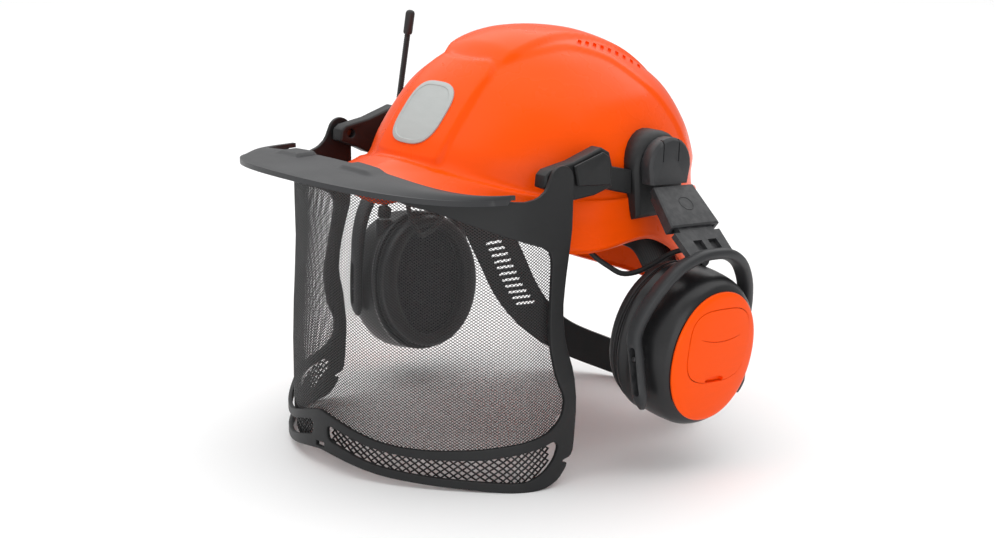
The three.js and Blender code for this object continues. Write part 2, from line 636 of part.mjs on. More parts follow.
// yoke: a tongue that slides in the arm, and a fork round the cup. Half of the fork's route
const FORK = [[166.5, 0, -46.5], [166, 14, -48], [163, 28, -55], [158.5, 39.5, -68], [153.5, 47, -83],
  [149.5, 50.5, -99], [150.8, 49.3, -113], [152.2, 47.2, -130], [153.6, 43.8, -148]];
const GROOVE = { up: 8, down: 25, slope: 0.08 }; // slot for the cup's pins, from the left cup's pivot
function yoke() {
  const tongue = plate(-4.3, -0.1, [[-15.5, 12], [-15.5, 40], [15.5, 40], [15.5, 12]]);
  const broad = plate(-4.3, -0.1, [[-21, 38.5], [-20, 59], [19.5, 59], [20.5, 38.5]]);
  const windows = [-5.5, 8].map((y) => plate(-9, 6, [[y - 4, 46], [y - 4, 54], [y + 4, 54], [y + 4, 46]]));
  const points = FORK.slice(1).reverse().map(([x, y, z]) => V(x, -y, z)).concat(FORK.map(([x, y, z]) => V(x, y, z)));
  const curve = new THREE.CatmullRomCurve3(points);
  const fork = sweep(curve.getSpacedPoints(26), 12, 7.5, V(1, 0, 0.2), 8);
  const slot = box(-2.4, 2.4, -60, 60, -GROOVE.down, GROOVE.up)
    .rotateY(-Math.atan(GROOVE.slope)).translate(CUP.pivotX, 0, CUP.pivotZ - MOUNT.z);
  return cut(join(leaned(cut(join(tongue, broad), ...windows)), fork), slot);
}

// ---------- cup ----------
// sections across the cup's axis: distance along the axis, half width, half height
const CUP_Z = 3; // the cup's middle above its pivot
const CUP_SHELL = [[-15, 46.5, 52], [-12, 47, 53], [-9, 44.5, 52.5], [-6.5, 43, 52.5], [9, 43, 52.5],
  [17, 42, 51.5], [23, 40, 48.5], [26, 37.5, 45.5]];
const ovalRing = (x, a, b, n, power = 2.1, dz = CUP_Z) => ovalPoints(a, b, n, power).map(([y, z]) => V(x, y, z + dz));
const CUP_SIDES = 24;
const AERIAL = { x: -2, y: -27, z: 50.3, lean: 14, length: 160 }; // on the right cup, leaning back in over the helmet

function cupShell(side) {
  const outer = skin(CUP_SHELL.map(([x, a, b]) => ovalRing(x, a, b, CUP_SIDES)));
  const inner = skin([[-16, 43, 48], [-9, 40.5, 48], [9, 40.5, 49], [17, 39.5, 48.5], [23.5, 36, 43]]
    .map(([x, a, b]) => ovalRing(x, a, b, CUP_SIDES)));
  const gland = join(bar('x', 4, -21, -8, 14, 57.5, 12), box(-14, -9, 10.5, 17.5, 50, 57));
  const tools = [inner, bar('y', 2.5, -50, 50, CUP.inset, 0, 12)];
  if (side === 'left') tools.push(box(20, 30, -17, 17, -26, 32));
  const bosses = side === 'left' ? [gland] : [gland, bar('z', 6, 30, 50, AERIAL.x, AERIAL.y, 12)];
  return cut(join(outer, ...bosses), ...tools);
}

function cushion() {
  const section = [[-17.3, 0], [-17.3, 0.97], [-20, 1.06], [-24.5, 1], [-27, 0.78], [-27.5, 0.5], [-26.8, 0.2],
    [-24, 0]];
  const n = 26;
  const rings = Array.from({ length: n }, (_, i) => {
    const t = (i / n) * 2 * Math.PI;
    return section.map(([x, k]) => V(x, lerp(31, 45, k) * Math.cos(t), lerp(40.5, 50, k) * Math.sin(t) + CUP_Z));
  });
  return skin(rings, true);
}

const ovalPlate = (x0, x1, a, b, n) => skin([ovalRing(x0, a, b, n), ovalRing(x1, a, b, n)]);
const COVER = { x0: 26.3, a: 36.5, b: 44.5 };
const lidOutline = (grow) => ovalPoints(27 + grow, 25 + grow, 24, 3.2, 0, 12);

const domeRings = [[0, 0.5, 0.5], [1.5, 0, 0], [3.4, -4, -4], [4.6, -11, -12], [5.3, -20, -24]];
const KNOBS = [['volume_knob', 12], ['tuning_knob', -12]];
const KNOB = { radius: 7.5, z: -22 };

function cupCover(side) {
  const dome = skin(domeRings.map(([x, a, b]) => ovalRing(COVER.x0 + x, COVER.a + a, COVER.b + b, 24)));
  if (side === 'left') return cut(dome, slabX(outline(lidOutline(GAP)), COVER.x0 - 1, COVER.x0 + 9));
  return cut(dome, ...KNOBS.map(([, y]) => bar('x', KNOB.radius + 0.6, COVER.x0 + 1.5, COVER.x0 + 9, y, KNOB.z, 16)));
}

function batteryLid() {
  const block = slabX(outline(lidOutline(0)), COVER.x0 + 0.5, COVER.x0 + 9);
  const limit = skin(domeRings.map(([x, a, b]) => ovalRing(COVER.x0 + x, COVER.a + a, COVER.b + b, 24)));
  const lid = geometryOf(solid(block).intersect(solid(limit)));
  return cut(lid, box(COVER.x0 + 3, COVER.x0 + 9, -8, 8, -16, -8));
}

// cable from the cup's gland up into the shell, in the cup's own frame, and the run over the crown
const CABLE_RISE = [[-21.5, 14, 57.5], [-26, 13.5, 58], [-32, 8, 54.5], [-37, -3, 46], [-40, -14, 40.5],
  [-44, -24, 39], [-49, -32, 43], [-56, -43, 51], [-61, -50, 62], [-64, -54, 71]];
const CABLE_CROSSING = [[90, -36, 190], [87, -37, 202], [79, -37, 221], [66, -36, 240], [48, -34, 253], [25, -32, 261],
  [0, -31, 264]];
function cable(points, steps) {
  const curve = new THREE.CatmullRomCurve3(points);
  return sweep(curve.getSpacedPoints(steps), 2 * CABLE.radius, 2 * CABLE.radius, V(0.3, 1, 0.2), CABLE.sides, 2);
}

for (const [side, place] of sides) {
  const s = side === 'left' ? 1 : -1;
  const muff = muffs[side];
  add(`pivot_cap_${side}`, place(pivotCap()), DARK, muff);
  add(`muff_arm_${side}`, place(upperArm()), DARK, muff);
  add(`yoke_${side}`, place(yoke()), DARK, muff);
  const pivot = new THREE.Group();
  pivot.position.set(s * (CUP.pivotX + GROOVE.slope * DROP[side]), 0, CUP.pivotZ - DROP[side] - MOUNT.z);
  pivot.rotation.y = rad(s * CUP.tilt);
  muff.add(pivot);
  for (const [end, y] of [['front', -1], ['rear', 1]]) {
    add(`cup_pivot_${end}_${side}`, place(bar('y', 1.9, y * 37, y * 52.5, 0, 0, 10)), STEEL, pivot);
  }
  const cup = new THREE.Group();
  cup.position.x = -s * CUP.inset;
  pivot.add(cup);
  add(`cup_shell_${side}`, place(cupShell(side)), BLACK, cup);
  add(`cup_cover_${side}`, place(cupCover(side)), ORANGE, cup);
  add(`cushion_${side}`, place(cushion()), SOFT, cup);
  const ring = cut(ovalPlate(-17, -15.3, 44.5, 49.5, 24), ovalPlate(-18, -14, 31.5, 41, 24));
  add(`cushion_plate_${side}`, place(ring), BLACK, cup);
  add(`liner_foam_${side}`, place(ovalPlate(-12, -6, 38.5, 46, 20)), FOAM, cup);
  add(`speaker_${side}`, place(bar('x', 20, -5.5, 2, 0, CUP_Z, 20)), BLACK, cup);
  const rise = CABLE_RISE.map(([x, y, z]) => V(x, y, z + DROP[side] * ease(40, 75, z) * ease(-20, -50, y)));
  add(`cable_${side}`, place(cable(rise, 16)), SOFT, cup);
  if (side === 'left') {
    add('battery_lid', batteryLid(), ORANGE, cup);
    add('battery_front', bar('z', 7.2, -22, 28, 0, 0, 14).translate(14.5, -8, 0), STEEL, cup);
    add('battery_rear', bar('z', 7.2, -22, 28, 0, 0, 14).translate(14.5, 8, 0), STEEL, cup);
  } else {
    add('radio_board', mirrored(box(9, 10.6, -26, 26, -26, 32)), GREEN, cup);
    for (const [name, y] of KNOBS) {
      const knob = bar('x', KNOB.radius, COVER.x0 + 1.8, COVER.x0 + 8, y, KNOB.z, 16);
      add(name, mirrored(knob), DARK, cup);
    }
    const aerial = new THREE.Group();
    aerial.position.set(-AERIAL.x, AERIAL.y, AERIAL.z);
    aerial.rotation.y = rad(AERIAL.lean);
    cup.add(aerial);
    add('antenna_base', bar('z', 5, 1.5, 10, 0, 0, 12), BLACK, aerial);
    const rod = bar('z', 1.8, 10.3, AERIAL.length - 4, 0, 0, 8);
    const tip = bar('z', 3.4, AERIAL.length - 18, AERIAL.length, 0, 0, 10);
    add('antenna', join(rod, tip), SOFT, aerial);
  }
}
const crossing = CABLE_CROSSING.map(([x, y, z]) => V(x, y, z));
const crossingBack = crossing.slice(0, -1).reverse().map((p) => V(-p.x, p.y, p.z));
add('cable_crossing', cable(crossing.concat(crossingBack), 26), SOFT);

// the origin is the middle of the helmet's foot
helmet.updateMatrixWorld(true);
const bounds = new THREE.Box3().setFromObject(helmet, true);
helmet.position.set(-(bounds.min.x + bounds.max.x) / 2, -(bounds.min.y + bounds.max.y) / 2, -bounds.min.z);

export default helmet;
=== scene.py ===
"""Forestry helmet: finished shapes, materials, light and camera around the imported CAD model.

Shapes are drawn in millimetres in the helmet's design frame: +X is the wearer's left, -Y is the
front, +Z is up. to_row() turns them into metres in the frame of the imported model.
"""
import json
import math

import bmesh
import bpy
import numpy as np
from mathutils import Matrix, Vector
from mathutils.bvhtree import BVHTree


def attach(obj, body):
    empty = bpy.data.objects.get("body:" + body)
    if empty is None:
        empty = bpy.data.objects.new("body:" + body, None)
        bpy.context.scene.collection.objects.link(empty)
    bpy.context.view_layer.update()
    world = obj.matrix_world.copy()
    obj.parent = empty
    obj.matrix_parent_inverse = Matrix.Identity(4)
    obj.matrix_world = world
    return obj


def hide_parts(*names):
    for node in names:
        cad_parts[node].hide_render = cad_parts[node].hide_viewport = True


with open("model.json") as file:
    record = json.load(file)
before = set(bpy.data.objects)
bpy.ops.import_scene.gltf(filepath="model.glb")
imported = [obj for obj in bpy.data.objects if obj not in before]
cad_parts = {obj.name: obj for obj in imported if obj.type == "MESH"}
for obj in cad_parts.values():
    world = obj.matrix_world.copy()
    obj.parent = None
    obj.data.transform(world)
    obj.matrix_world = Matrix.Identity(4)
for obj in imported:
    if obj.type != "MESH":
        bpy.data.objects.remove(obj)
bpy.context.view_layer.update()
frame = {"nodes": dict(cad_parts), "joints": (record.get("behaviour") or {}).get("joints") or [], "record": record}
NODES = frame["nodes"]
JOINTS = {j["name"]: j for j in frame["joints"]}
MM = 0.001

# the design frame's origin, found from the visor's hinge
HINGE = {"y": -75.8, "z": 201.0}
hinge_at = JOINTS["visor_hinge"]["pos_m"]
ORIGIN = np.array([hinge_at[0], hinge_at[1] - HINGE["y"] * MM, 0.0])
SIDES = {"left": 1, "right": -1}


def to_row(points):
    return np.asarray(points, float) * MM + ORIGIN


# ---------- camera ----------
VIEW = {"azimuth": 50.08, "elevation": 13.52, "roll": 0.14, "target": (0, -27, 113.4),
        "distance": 1476, "lens": 76.2}


def add_camera():
    turn, tilt = math.radians(VIEW["azimuth"]), math.radians(VIEW["elevation"])
    back = Vector((math.sin(turn) * math.cos(tilt), -math.cos(turn) * math.cos(tilt), math.sin(tilt)))
    data = bpy.data.cameras.new("camera")
    data.lens = VIEW["lens"]
    data.sensor_width = 36
    camera = bpy.data.objects.new("camera", data)
    bpy.context.scene.collection.objects.link(camera)
    camera.rotation_mode = "QUATERNION"
    roll = Matrix.Rotation(math.radians(VIEW["roll"]), 3, "Z")
    camera.rotation_quaternion = (back.to_track_quat("Z", "Y").to_matrix() @ roll).to_quaternion()
    camera.location = Vector(to_row(VIEW["target"])) + back * VIEW["distance"] * MM
    bpy.context.scene.camera = camera


# ---------- materials ----------
def shader(name, colour, roughness, metallic=0.0, coat=0.0, specular=0.5):
    """New material with the numbers that are the same all over set on the shader itself."""
    made = bpy.data.materials.new(name)
    made.use_nodes = True
    principled = made.node_tree.nodes["Principled BSDF"]
    principled.inputs["Base Color"].default_value = (*colour, 1)
    principled.inputs["Roughness"].default_value = roughness
    principled.inputs["Metallic"].default_value = metallic
    principled.inputs["Coat Weight"].default_value = coat
    principled.inputs["Coat Roughness"].default_value = 0.08
    principled.inputs["Specular IOR Level"].default_value = specular
    return made, principled


def link(made, a, b):
    made.node_tree.links.new(a, b)


def texture(made, kind, scale, stretch=(1, 1, 1), **inputs):
    """Procedural texture in object coordinates, with its scale in cycles per metre."""
    nodes = made.node_tree.nodes
    place = nodes.new("ShaderNodeTexCoord")
    mapping = nodes.new("ShaderNodeMapping")
    mapping.inputs["Scale"].default_value = stretch
    link(made, place.outputs["Object"], mapping.inputs["Vector"])
    made_texture = nodes.new(kind)
    link(made, mapping.outputs["Vector"], made_texture.inputs["Vector"])
    made_texture.inputs["Scale"].default_value = scale
    for key, value in inputs.items():
        made_texture.inputs[key].default_value = value
    return made_texture


def remap(made, value, low, high, start=0.0, end=1.0):
    node = made.node_tree.nodes.new("ShaderNodeMapRange")
    link(made, value, node.inputs["Value"])
    node.inputs["From Min"].default_value = low
    node.inputs["From Max"].default_value = high
    node.inputs["To Min"].default_value = start
    node.inputs["To Max"].default_value = end
    return node.outputs["Result"]


def bumps(made, principled, *layers):
    """Bump from layers of (height output, strength, depth in metres)."""
    below = None
    for height, strength, depth in layers:
        node = made.node_tree.nodes.new("ShaderNodeBump")
        node.inputs["Strength"].default_value = strength
        node.inputs["Distance"].default_value = depth
        link(made, height, node.inputs["Height"])
        if below:
            link(made, below, node.inputs["Normal"])
        below = node.outputs["Normal"]
    link(made, below, principled.inputs["Normal"])


def mix_colour(made, factor, a, b):
    node = made.node_tree.nodes.new("ShaderNodeMix")
    node.data_type = "RGBA"
    for socket, value in (("A_Color", a), ("B_Color", b)):
        target = next(s for s in node.inputs if s.identifier == socket)
        if isinstance(value, tuple):
            target.default_value = (*value, 1)
        else:
            link(made, value, target)
    link(made, factor, node.inputs[0])
    return next(s for s in node.outputs if s.identifier == "Result_Color")


def edge_wear(made, low=0.52, high=0.62):
    """1 on convex edges, broken up by noise."""
    geometry = made.node_tree.nodes.new("ShaderNodeNewGeometry")
    noise = texture(made, "ShaderNodeTexNoise", 220, Detail=4.0)
    multiply = made.node_tree.nodes.new("ShaderNodeMath")
    multiply.operation = "MULTIPLY"
    link(made, remap(made, geometry.outputs["Pointiness"], low, high), multiply.inputs[0])
    link(made, remap(made, noise.outputs["Fac"], 0.4, 0.7), multiply.inputs[1])
    return multiply.outputs[0]


def moulded(name, colour, roughness, grain=0.4, spread=0.03, specular=0.5, worn=None, depth=0.00006,
            flow=0.95):
    """Moulded plastic: fine grain, patches of shine, faint flow marks and rubbed edges."""
    made, principled = shader(name, colour, roughness, specular=specular)
    patches = texture(made, "ShaderNodeTexNoise", 30, Detail=3.0)
    fine = texture(made, "ShaderNodeTexVoronoi", 2400)
    smear = texture(made, "ShaderNodeTexNoise", 60, stretch=(1, 1, 6), Detail=5.0)
    rough = remap(made, patches.outputs["Fac"], 0.3, 0.7, max(0.02, roughness - spread), roughness + spread)
    link(made, rough, principled.inputs["Roughness"])
    darker = tuple(flow * c for c in colour)
    base = mix_colour(made, remap(made, smear.outputs["Fac"], 0.35, 0.65), darker, colour)
    if worn:
        base = mix_colour(made, edge_wear(made), base, worn)
    link(made, base, principled.inputs["Base Color"])
    bumps(made, principled, (fine.outputs["Distance"], grain, depth), (patches.outputs["Fac"], 0.03, 0.0002))
    return made


def woven(name, colour, pitch=900, sheen=0.3):
    """Cloth: warp and weft as two crossed waves, with uneven yarn and a painted highlight on the yarn crowns."""
    made, principled = shader(name, colour, 0.9)
    principled.inputs["Sheen Weight"].default_value = sheen
    waves = []
    for direction in ("X", "Z"):
        wave = texture(made, "ShaderNodeTexWave", pitch, Distortion=0.6, Detail=2.0)
        wave.bands_direction = direction
        waves.append(wave.outputs["Fac"])
    both = made.node_tree.nodes.new("ShaderNodeMath")
    both.operation = "MULTIPLY"
    link(made, waves[0], both.inputs[0])
    link(made, waves[1], both.inputs[1])
    yarn = texture(made, "ShaderNodeTexNoise", 400, Detail=4.0)
    # painted highlight: where the crossed waves stand highest, the crowns of the yarn are made lighter
    lighter = tuple(min(1, 2.2 * c) for c in colour)
    base = mix_colour(made, both.outputs[0], colour, lighter)
    link(made, base, principled.inputs["Base Color"])
    bumps(made, principled, (both.outputs[0], 0.6, 0.0002), (yarn.outputs["Fac"], 0.2, 0.0002))
    return made


def leathery(name, colour):
    """Artificial leather: pebbled grain over soft creases."""
    made, principled = shader(name, colour, 0.42, specular=0.45)
    pebbles = texture(made, "ShaderNodeTexVoronoi", 900)
    creases = texture(made, "ShaderNodeTexNoise", 70, Detail=5.0)
    rough = remap(made, creases.outputs["Fac"], 0.3, 0.7, 0.36, 0.52)
    link(made, rough, principled.inputs["Roughness"])
    lighter = tuple(1.7 * c for c in colour)
    base = mix_colour(made, remap(made, pebbles.outputs["Distance"], 0, 0.7), lighter, colour)
    link(made, base, principled.inputs["Base Color"])
    bumps(made, principled, (pebbles.outputs["Distance"], 0.25, 0.00015),
          (creases.outputs["Fac"], 0.3, 0.0005))
    return made


def metal(name, colour, roughness):
    """Metal with fine scratches along the piece."""
    made, principled = shader(name, colour, roughness, metallic=1.0)
    scratches = texture(made, "ShaderNodeTexNoise", 900, stretch=(1, 1, 0.05), Detail=3.0)
    rough = remap(made, scratches.outputs["Fac"], 0.3, 0.7, roughness - 0.08, roughness + 0.12)
    link(made, rough, principled.inputs["Roughness"])
    bumps(made, principled, (scratches.outputs["Fac"], 0.15, 0.00005))
    return made


def foamy(name, colour):
    """Open-cell foam, with painted shade darkening the pits of its cells."""
    made, principled = shader(name, colour, 1.0, specular=0.2)
    cells = texture(made, "ShaderNodeTexVoronoi", 700)
    # painted shade: the pits of the cells, low in the bump below, get the darker colour
    darker = tuple(0.4 * c for c in colour)
    base = mix_colour(made, remap(made, cells.outputs["Distance"], 0.1, 0.7), darker, colour)
    link(made, base, principled.inputs["Base Color"])
    bumps(made, principled, (cells.outputs["Distance"], 0.9, 0.0008))
    return made


def circuit(name):
    """Circuit board: green resist over copper tracks."""
    made, principled = shader(name, (0.02, 0.16, 0.07), 0.35, coat=0.3)
    tracks = texture(made, "ShaderNodeTexBrick", 160)
    tracks.inputs["Mortar Size"].default_value = 0.08
    base = mix_colour(made, tracks.outputs["Fac"], (0.01, 0.11, 0.04), (0.05, 0.26, 0.1))
    link(made, base, principled.inputs["Base Color"])
    bumps(made, principled, (tracks.outputs["Fac"], 0.4, 0.0001))
    return made


ORANGE = (0.96, 0.084, 0.0012)
# smooth, strongly coloured plastic
GLOSS = {"spread": 0.02, "specular": 0.12, "depth": 0.00003, "flow": 0.98}
MATERIALS = {
    "shell": moulded("shell_plastic", ORANGE, 0.28, grain=0.03, **GLOSS),
    "badge": moulded("badge_silver", (0.42, 0.44, 0.43), 0.42, grain=0.3),
    "black_plastic": moulded("black_plastic", (0.012, 0.0123, 0.013), 0.5, specular=0.32,
                             worn=(0.03, 0.03, 0.031)),
    "dark_plastic": moulded("dark_plastic", (0.026, 0.027, 0.029), 0.44, specular=0.36,
                            worn=(0.05, 0.05, 0.052)),
    "cup_plastic": moulded("cup_plastic", (0.012, 0.012, 0.013), 0.34, grain=0.15, specular=0.4),
    "cover": moulded("cover_plastic", ORANGE, 0.3, grain=0.06, **GLOSS),
    "webbing": woven("webbing", (0.02, 0.02, 0.023)),
    "wire": moulded("coated_wire", (0.02, 0.021, 0.022), 0.45, grain=0.2),
    "steel": metal("burnished_steel", (0.07, 0.07, 0.073), 0.4),
    "cushion": leathery("cushion_leather", (0.013, 0.013, 0.014)),
    "foam": foamy("foam", (0.05, 0.05, 0.055)),
    "rubber": moulded("rubber", (0.014, 0.014, 0.015), 0.6, grain=0.5),
    "board": circuit("circuit_board"),
}


# ---------- small helpers ----------
def ease(a, b, x):
    t = np.clip((np.asarray(x, float) - a) / (b - a), 0, 1)
    return t * t * (3 - 2 * t)


def lerp(a, b, t):
    return a + (b - a) * t


def table(pairs, key):
    """Smooth value read from a list of (key, value) pairs."""
    keys, values = np.array(pairs, float).T
    key = np.asarray(key, float)
    last = len(keys) - 1
    slopes = np.empty(last + 1)
    for j in range(last + 1):
        a, b = max(0, j - 1), min(last, j + 1)
        slopes[j] = (values[b] - values[a]) / (keys[b] - keys[a])
    i = np.clip(np.searchsorted(keys[1:], key, "left"), 0, last - 1)
    h = keys[i + 1] - keys[i]
    t = np.clip((key - keys[i]) / h, 0, 1)
    t2, t3 = t * t, t * t * t
    return ((2 * t3 - 3 * t2 + 1) * values[i] + (t3 - 2 * t2 + t) * h * slopes[i]
            + (3 * t2 - 2 * t3) * values[i + 1] + (t3 - t2) * h * slopes[i + 1])


def catmull(points, count):
    """Evenly spaced points on a smooth curve through the given ones."""
    points = [np.array(p, float) for p in points]
    padded = [2 * points[0] - points[1], *points, 2 * points[-1] - points[-2]]
    dense = []
    steps = 24
    for i in range(len(points) - 1):
        p0, p1, p2, p3 = padded[i:i + 4]
        d0, d1, d2 = (max(1e-4, np.linalg.norm(b - a) ** 0.5) for a, b in ((p0, p1), (p1, p2), (p2, p3)))
        m1 = ((p1 - p0) / d0 - (p2 - p0) / (d0 + d1) + (p2 - p1) / d1) * d1
        m2 = ((p2 - p1) / d1 - (p3 - p1) / (d1 + d2) + (p3 - p2) / d2) * d1
        for k in range(steps):
            t = k / steps
            square = 3 * p2 - 3 * p1 - 2 * m1 - m2
            cube = 2 * p1 - 2 * p2 + m1 + m2
            dense.append(p1 + m1 * t + square * t * t + cube * t ** 3)
    dense = np.array(dense + [points[-1]])
    lengths = np.concatenate([[0], np.cumsum(np.linalg.norm(np.diff(dense, axis=0), axis=1))])
    wanted = np.linspace(0, lengths[-1], count)
    return np.stack([np.interp(wanted, lengths, dense[:, k]) for k in range(3)], 1)


def length_of(points):
    return float(np.linalg.norm(np.diff(np.asarray(points), axis=0), axis=1).sum())


def new_object(name, points, faces, smooth=40):
    """Mesh object from design points, with its normals out and its sharp edges kept."""
    mesh = bpy.data.meshes.new(name)
    mesh.from_pydata(to_row(points).tolist(), [], [list(map(int, f)) for f in faces])
    obj = bpy.data.objects.new(name, mesh)
    bpy.context.scene.collection.objects.link(obj)
    outward(mesh)
    soften(obj, smooth)
    return obj


def outward(mesh):
    work = bmesh.new()
    work.from_mesh(mesh)
    bmesh.ops.remove_doubles(work, verts=work.verts, dist=1e-6)
    bmesh.ops.recalc_face_normals(work, faces=work.faces)
    work.to_mesh(mesh)
    work.free()


def soften(obj, angle):
    """Smooth shading, except across edges sharper than the angle."""
    mesh = obj.data
    mesh.shade_smooth()
    mesh.set_sharp_from_angle(angle=math.radians(angle))


def grid_faces(rows, columns, loop_rows=False, loop_columns=False, start=0):
    r = np.arange(rows if loop_rows else rows - 1)
    c = np.arange(columns if loop_columns else columns - 1)
    i, j = (a.ravel() for a in np.meshgrid(r, c, indexing="ij"))
    i2, j2 = (i + 1) % rows, (j + 1) % columns
    corners = [i * columns + j, i2 * columns + j, i2 * columns + j2, i * columns + j2]
    return (np.stack(corners, 1) + start).tolist()


def sheet(name, outer, inner, loop=False, smooth=40):
    """Closed body between two grids of points; with loop, the rows meet in a ring."""
    rows, columns = outer.shape[:2]
    half = rows * columns
    faces = grid_faces(rows, columns, loop_rows=loop) + grid_faces(rows, columns, loop_rows=loop, start=half)
    for i in range(rows if loop else rows - 1):
        for j in (0, columns - 1):
            a, b = i * columns + j, (i + 1) % rows * columns + j
            faces.append([a, b, b + half, a + half])
    if not loop:
        for i in (0, rows - 1):
            for j in range(columns - 1):
                a = i * columns + j
                faces.append([a, a + 1, a + 1 + half, a + half])
    points = np.concatenate([outer.reshape(-1, 3), inner.reshape(-1, 3)])
    return new_object(name, points, faces, smooth)


def skin(name, rings, loop=False, smooth=40):
    """Closed body over rings of points; the ends are closed, or meet each other in a loop."""
    rings = np.asarray(rings, float)
    count, sides = rings.shape[:2]
    faces = grid_faces(count, sides, loop_rows=loop, loop_columns=True)
    points = rings.reshape(-1, 3)
    if not loop:
        faces.append(list(range(sides)))
        faces.append(list(range((count - 1) * sides, count * sides)))
    return new_object(name, points, faces, smooth)


def oval(a, b, sides, power=2.0):
    """Points round an oval: power 2 is an ellipse, more is boxier."""
    t = np.arange(sides) / sides * 2 * math.pi
    c, s = np.cos(t), np.sin(t)
    k = 2 / power
    return np.stack([a * np.sign(c) * np.abs(c) ** k, b * np.sign(s) * np.abs(s) ** k], 1)


def sweep(points, width, height, across, sides=20, power=3.0):
    """Rings of a rounded section along points; widths may change from point to point."""
    points = np.asarray(points, float)
    width, height = (np.broadcast_to(v, len(points)) for v in (width, height))
    rings = []
    for i, p in enumerate(points):
        along = points[min(i + 1, len(points) - 1)] - points[max(i - 1, 0)]
        along /= np.linalg.norm(along)
        a = np.array(across, float) - along * np.dot(across, along)
        a /= np.linalg.norm(a)
        b = np.cross(along, a)
        section = oval(width[i] / 2, height[i] / 2, sides, power)
        rings.append(p + section[:, :1] * a + section[:, 1:] * b)
    return np.array(rings)


def placed(points, matrix, side="left"):
    """Points drawn for the left side, mirrored for the right and put in place by a matrix."""
    flat = np.asarray(points, float).reshape(-1, 3) * (SIDES[side], 1, 1)
    m = np.array(matrix)
    return (flat @ m[:3, :3].T + m[:3, 3]).reshape(np.shape(points))


def circle(count):
    """Angles evenly spaced round a circle."""
    return np.linspace(0, 2 * math.pi, count, endpoint=False)


def lathe(profile, sides, axis, centre):
    """Rings of (distance along, radius) round an axis, x or z, through a centre."""
    c, s = np.cos(circle(sides)), np.sin(circle(sides))
    along, r = (np.array(values, float)[:, None] for values in zip(*profile))
    along = along + 0 * c
    if axis == "x":
        return np.stack([along, centre[1] + r * c, centre[2] + r * s], -1)
    return np.stack([centre[0] + r * c, centre[1] + r * s, along], -1)


def slab(name, outline, x0, x1, matrix, side="left", smooth=40):
    """Plate with an outline in y and z, from x0 to x1."""
    outline = np.asarray(outline, float)
    rings = [np.column_stack([np.full(len(outline), x), outline]) for x in (x0, x1)]
    return skin(name, placed(np.array(rings), matrix, side), smooth=smooth)


def apply_modifiers(obj):
    evaluated = obj.evaluated_get(bpy.context.evaluated_depsgraph_get())
    mesh = bpy.data.meshes.new_from_object(evaluated)
    obj.modifiers.clear()
    obj.data = mesh


def boolean(obj, tool, operation="DIFFERENCE"):
    """Cut the tool out of the object, or join or intersect them; the tool goes."""
    modifier = obj.modifiers.new("boolean", "BOOLEAN")
    modifier.object = tool
    modifier.operation = operation
    modifier.solver = "EXACT"
    apply_modifiers(obj)
    bpy.data.objects.remove(tool)


def bevel(obj, width, segments=2, angle=35):
    modifier = obj.modifiers.new("bevel", "BEVEL")
    modifier.width = width * MM
    modifier.segments = segments
    modifier.limit_method = "ANGLE"
    modifier.angle_limit = math.radians(angle)
    modifier.harden_normals = True


def clean_edges(obj, width, angle=40):
    """Shading and rounded edges after cuts."""
    soften(obj, angle)
    bevel(obj, width, 2, angle)


def finish_piece(obj, body, slot, *replaced):
    """Material, body and the CAD nodes that the piece stands for."""
    obj.data.materials.clear()
    obj.data.materials.append(MATERIALS[slot])
    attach(obj, body)
    if replaced:
        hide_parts(*replaced)
    return obj


# ---------- shell ----------
SHELL = {"centre_y": -2, "wall": 3, "boxiness": 0.92, "turns": 320, "rows": 112}
# profiles of the shell at the front, side and rear, from lip to crown: distance from the centre, height
FRONT = [(141, 195), (141.5, 198), (128, 200), (117, 201), (108, 203), (98, 217), (82, 237), (64, 258),
         (43, 271), (21, 278.5), (0, 280.5)]
SIDE = [(108, 151), (109.5, 155), (106.5, 166), (106, 177), (103.5, 181), (102, 200), (95.5, 221), (81, 243),
        (58, 264), (30, 276.5), (0, 280.5)]
REAR = [(126, 82), (128, 86), (126.5, 122), (126, 158), (122, 163), (120.5, 185), (113, 211), (97, 238),
        (70, 261), (36, 275.5), (0, 280.5)]
LEDGE = 3  # point of the profiles where the ledge above the lip ends
LIP_EDGE = 3.5  # height of the lip's outer face
# height of the lip by angle from the front
LIP = [(0, 195), (30, 185), (50, 166), (70, 147), (80, 145), (95, 148.5), (105, 140), (117, 121.5), (140, 95),
       (180, 82)]
PANEL = {"half": 33, "top": 265, "corner": 14, "slope": 1.3, "rise": 3.4}
CROWN_DROP = 1.8  # the crown between the raised parts lies this much under the smooth shell
# half widths of the spine and of the plateaus beside it, by y
SPINE_EDGE = [(-62, 27), (-54, 31), (-38, 35), (-20, 35), (-4, 33), (9, 32), (40, 33), (80, 33), (130, 33)]
PLATEAU_EDGE = [(-62, 27), (-43, 35), (-23, 40.5), (-1, 43), (12, 48.5), (28, 57), (41, 69), (56, 78),
                (66, 83), (75, 87), (85, 120), (130, 140)]
RISE = {"spine": 2.8, "plateau": 1.9, "bead": 0.8}  # above the smooth shell
DROP_FROM, DROP_TO = 238, 262  # heights between which the crown drops
VENTS = {"count": 9, "y": 12.5, "pitch": 5.9, "width": 2.6, "x": 39, "spread": 1.2, "length": 14,
         "slant": 43, "depth": 1.6}
ANCHOR = {"radius": 4, "reach": (96.5, 105), "z": 163}  # boss that holds the nape band's end
BADGE = {"a": 22, "b": 19, "z": 231, "power": 3.0, "thick": 1.3}


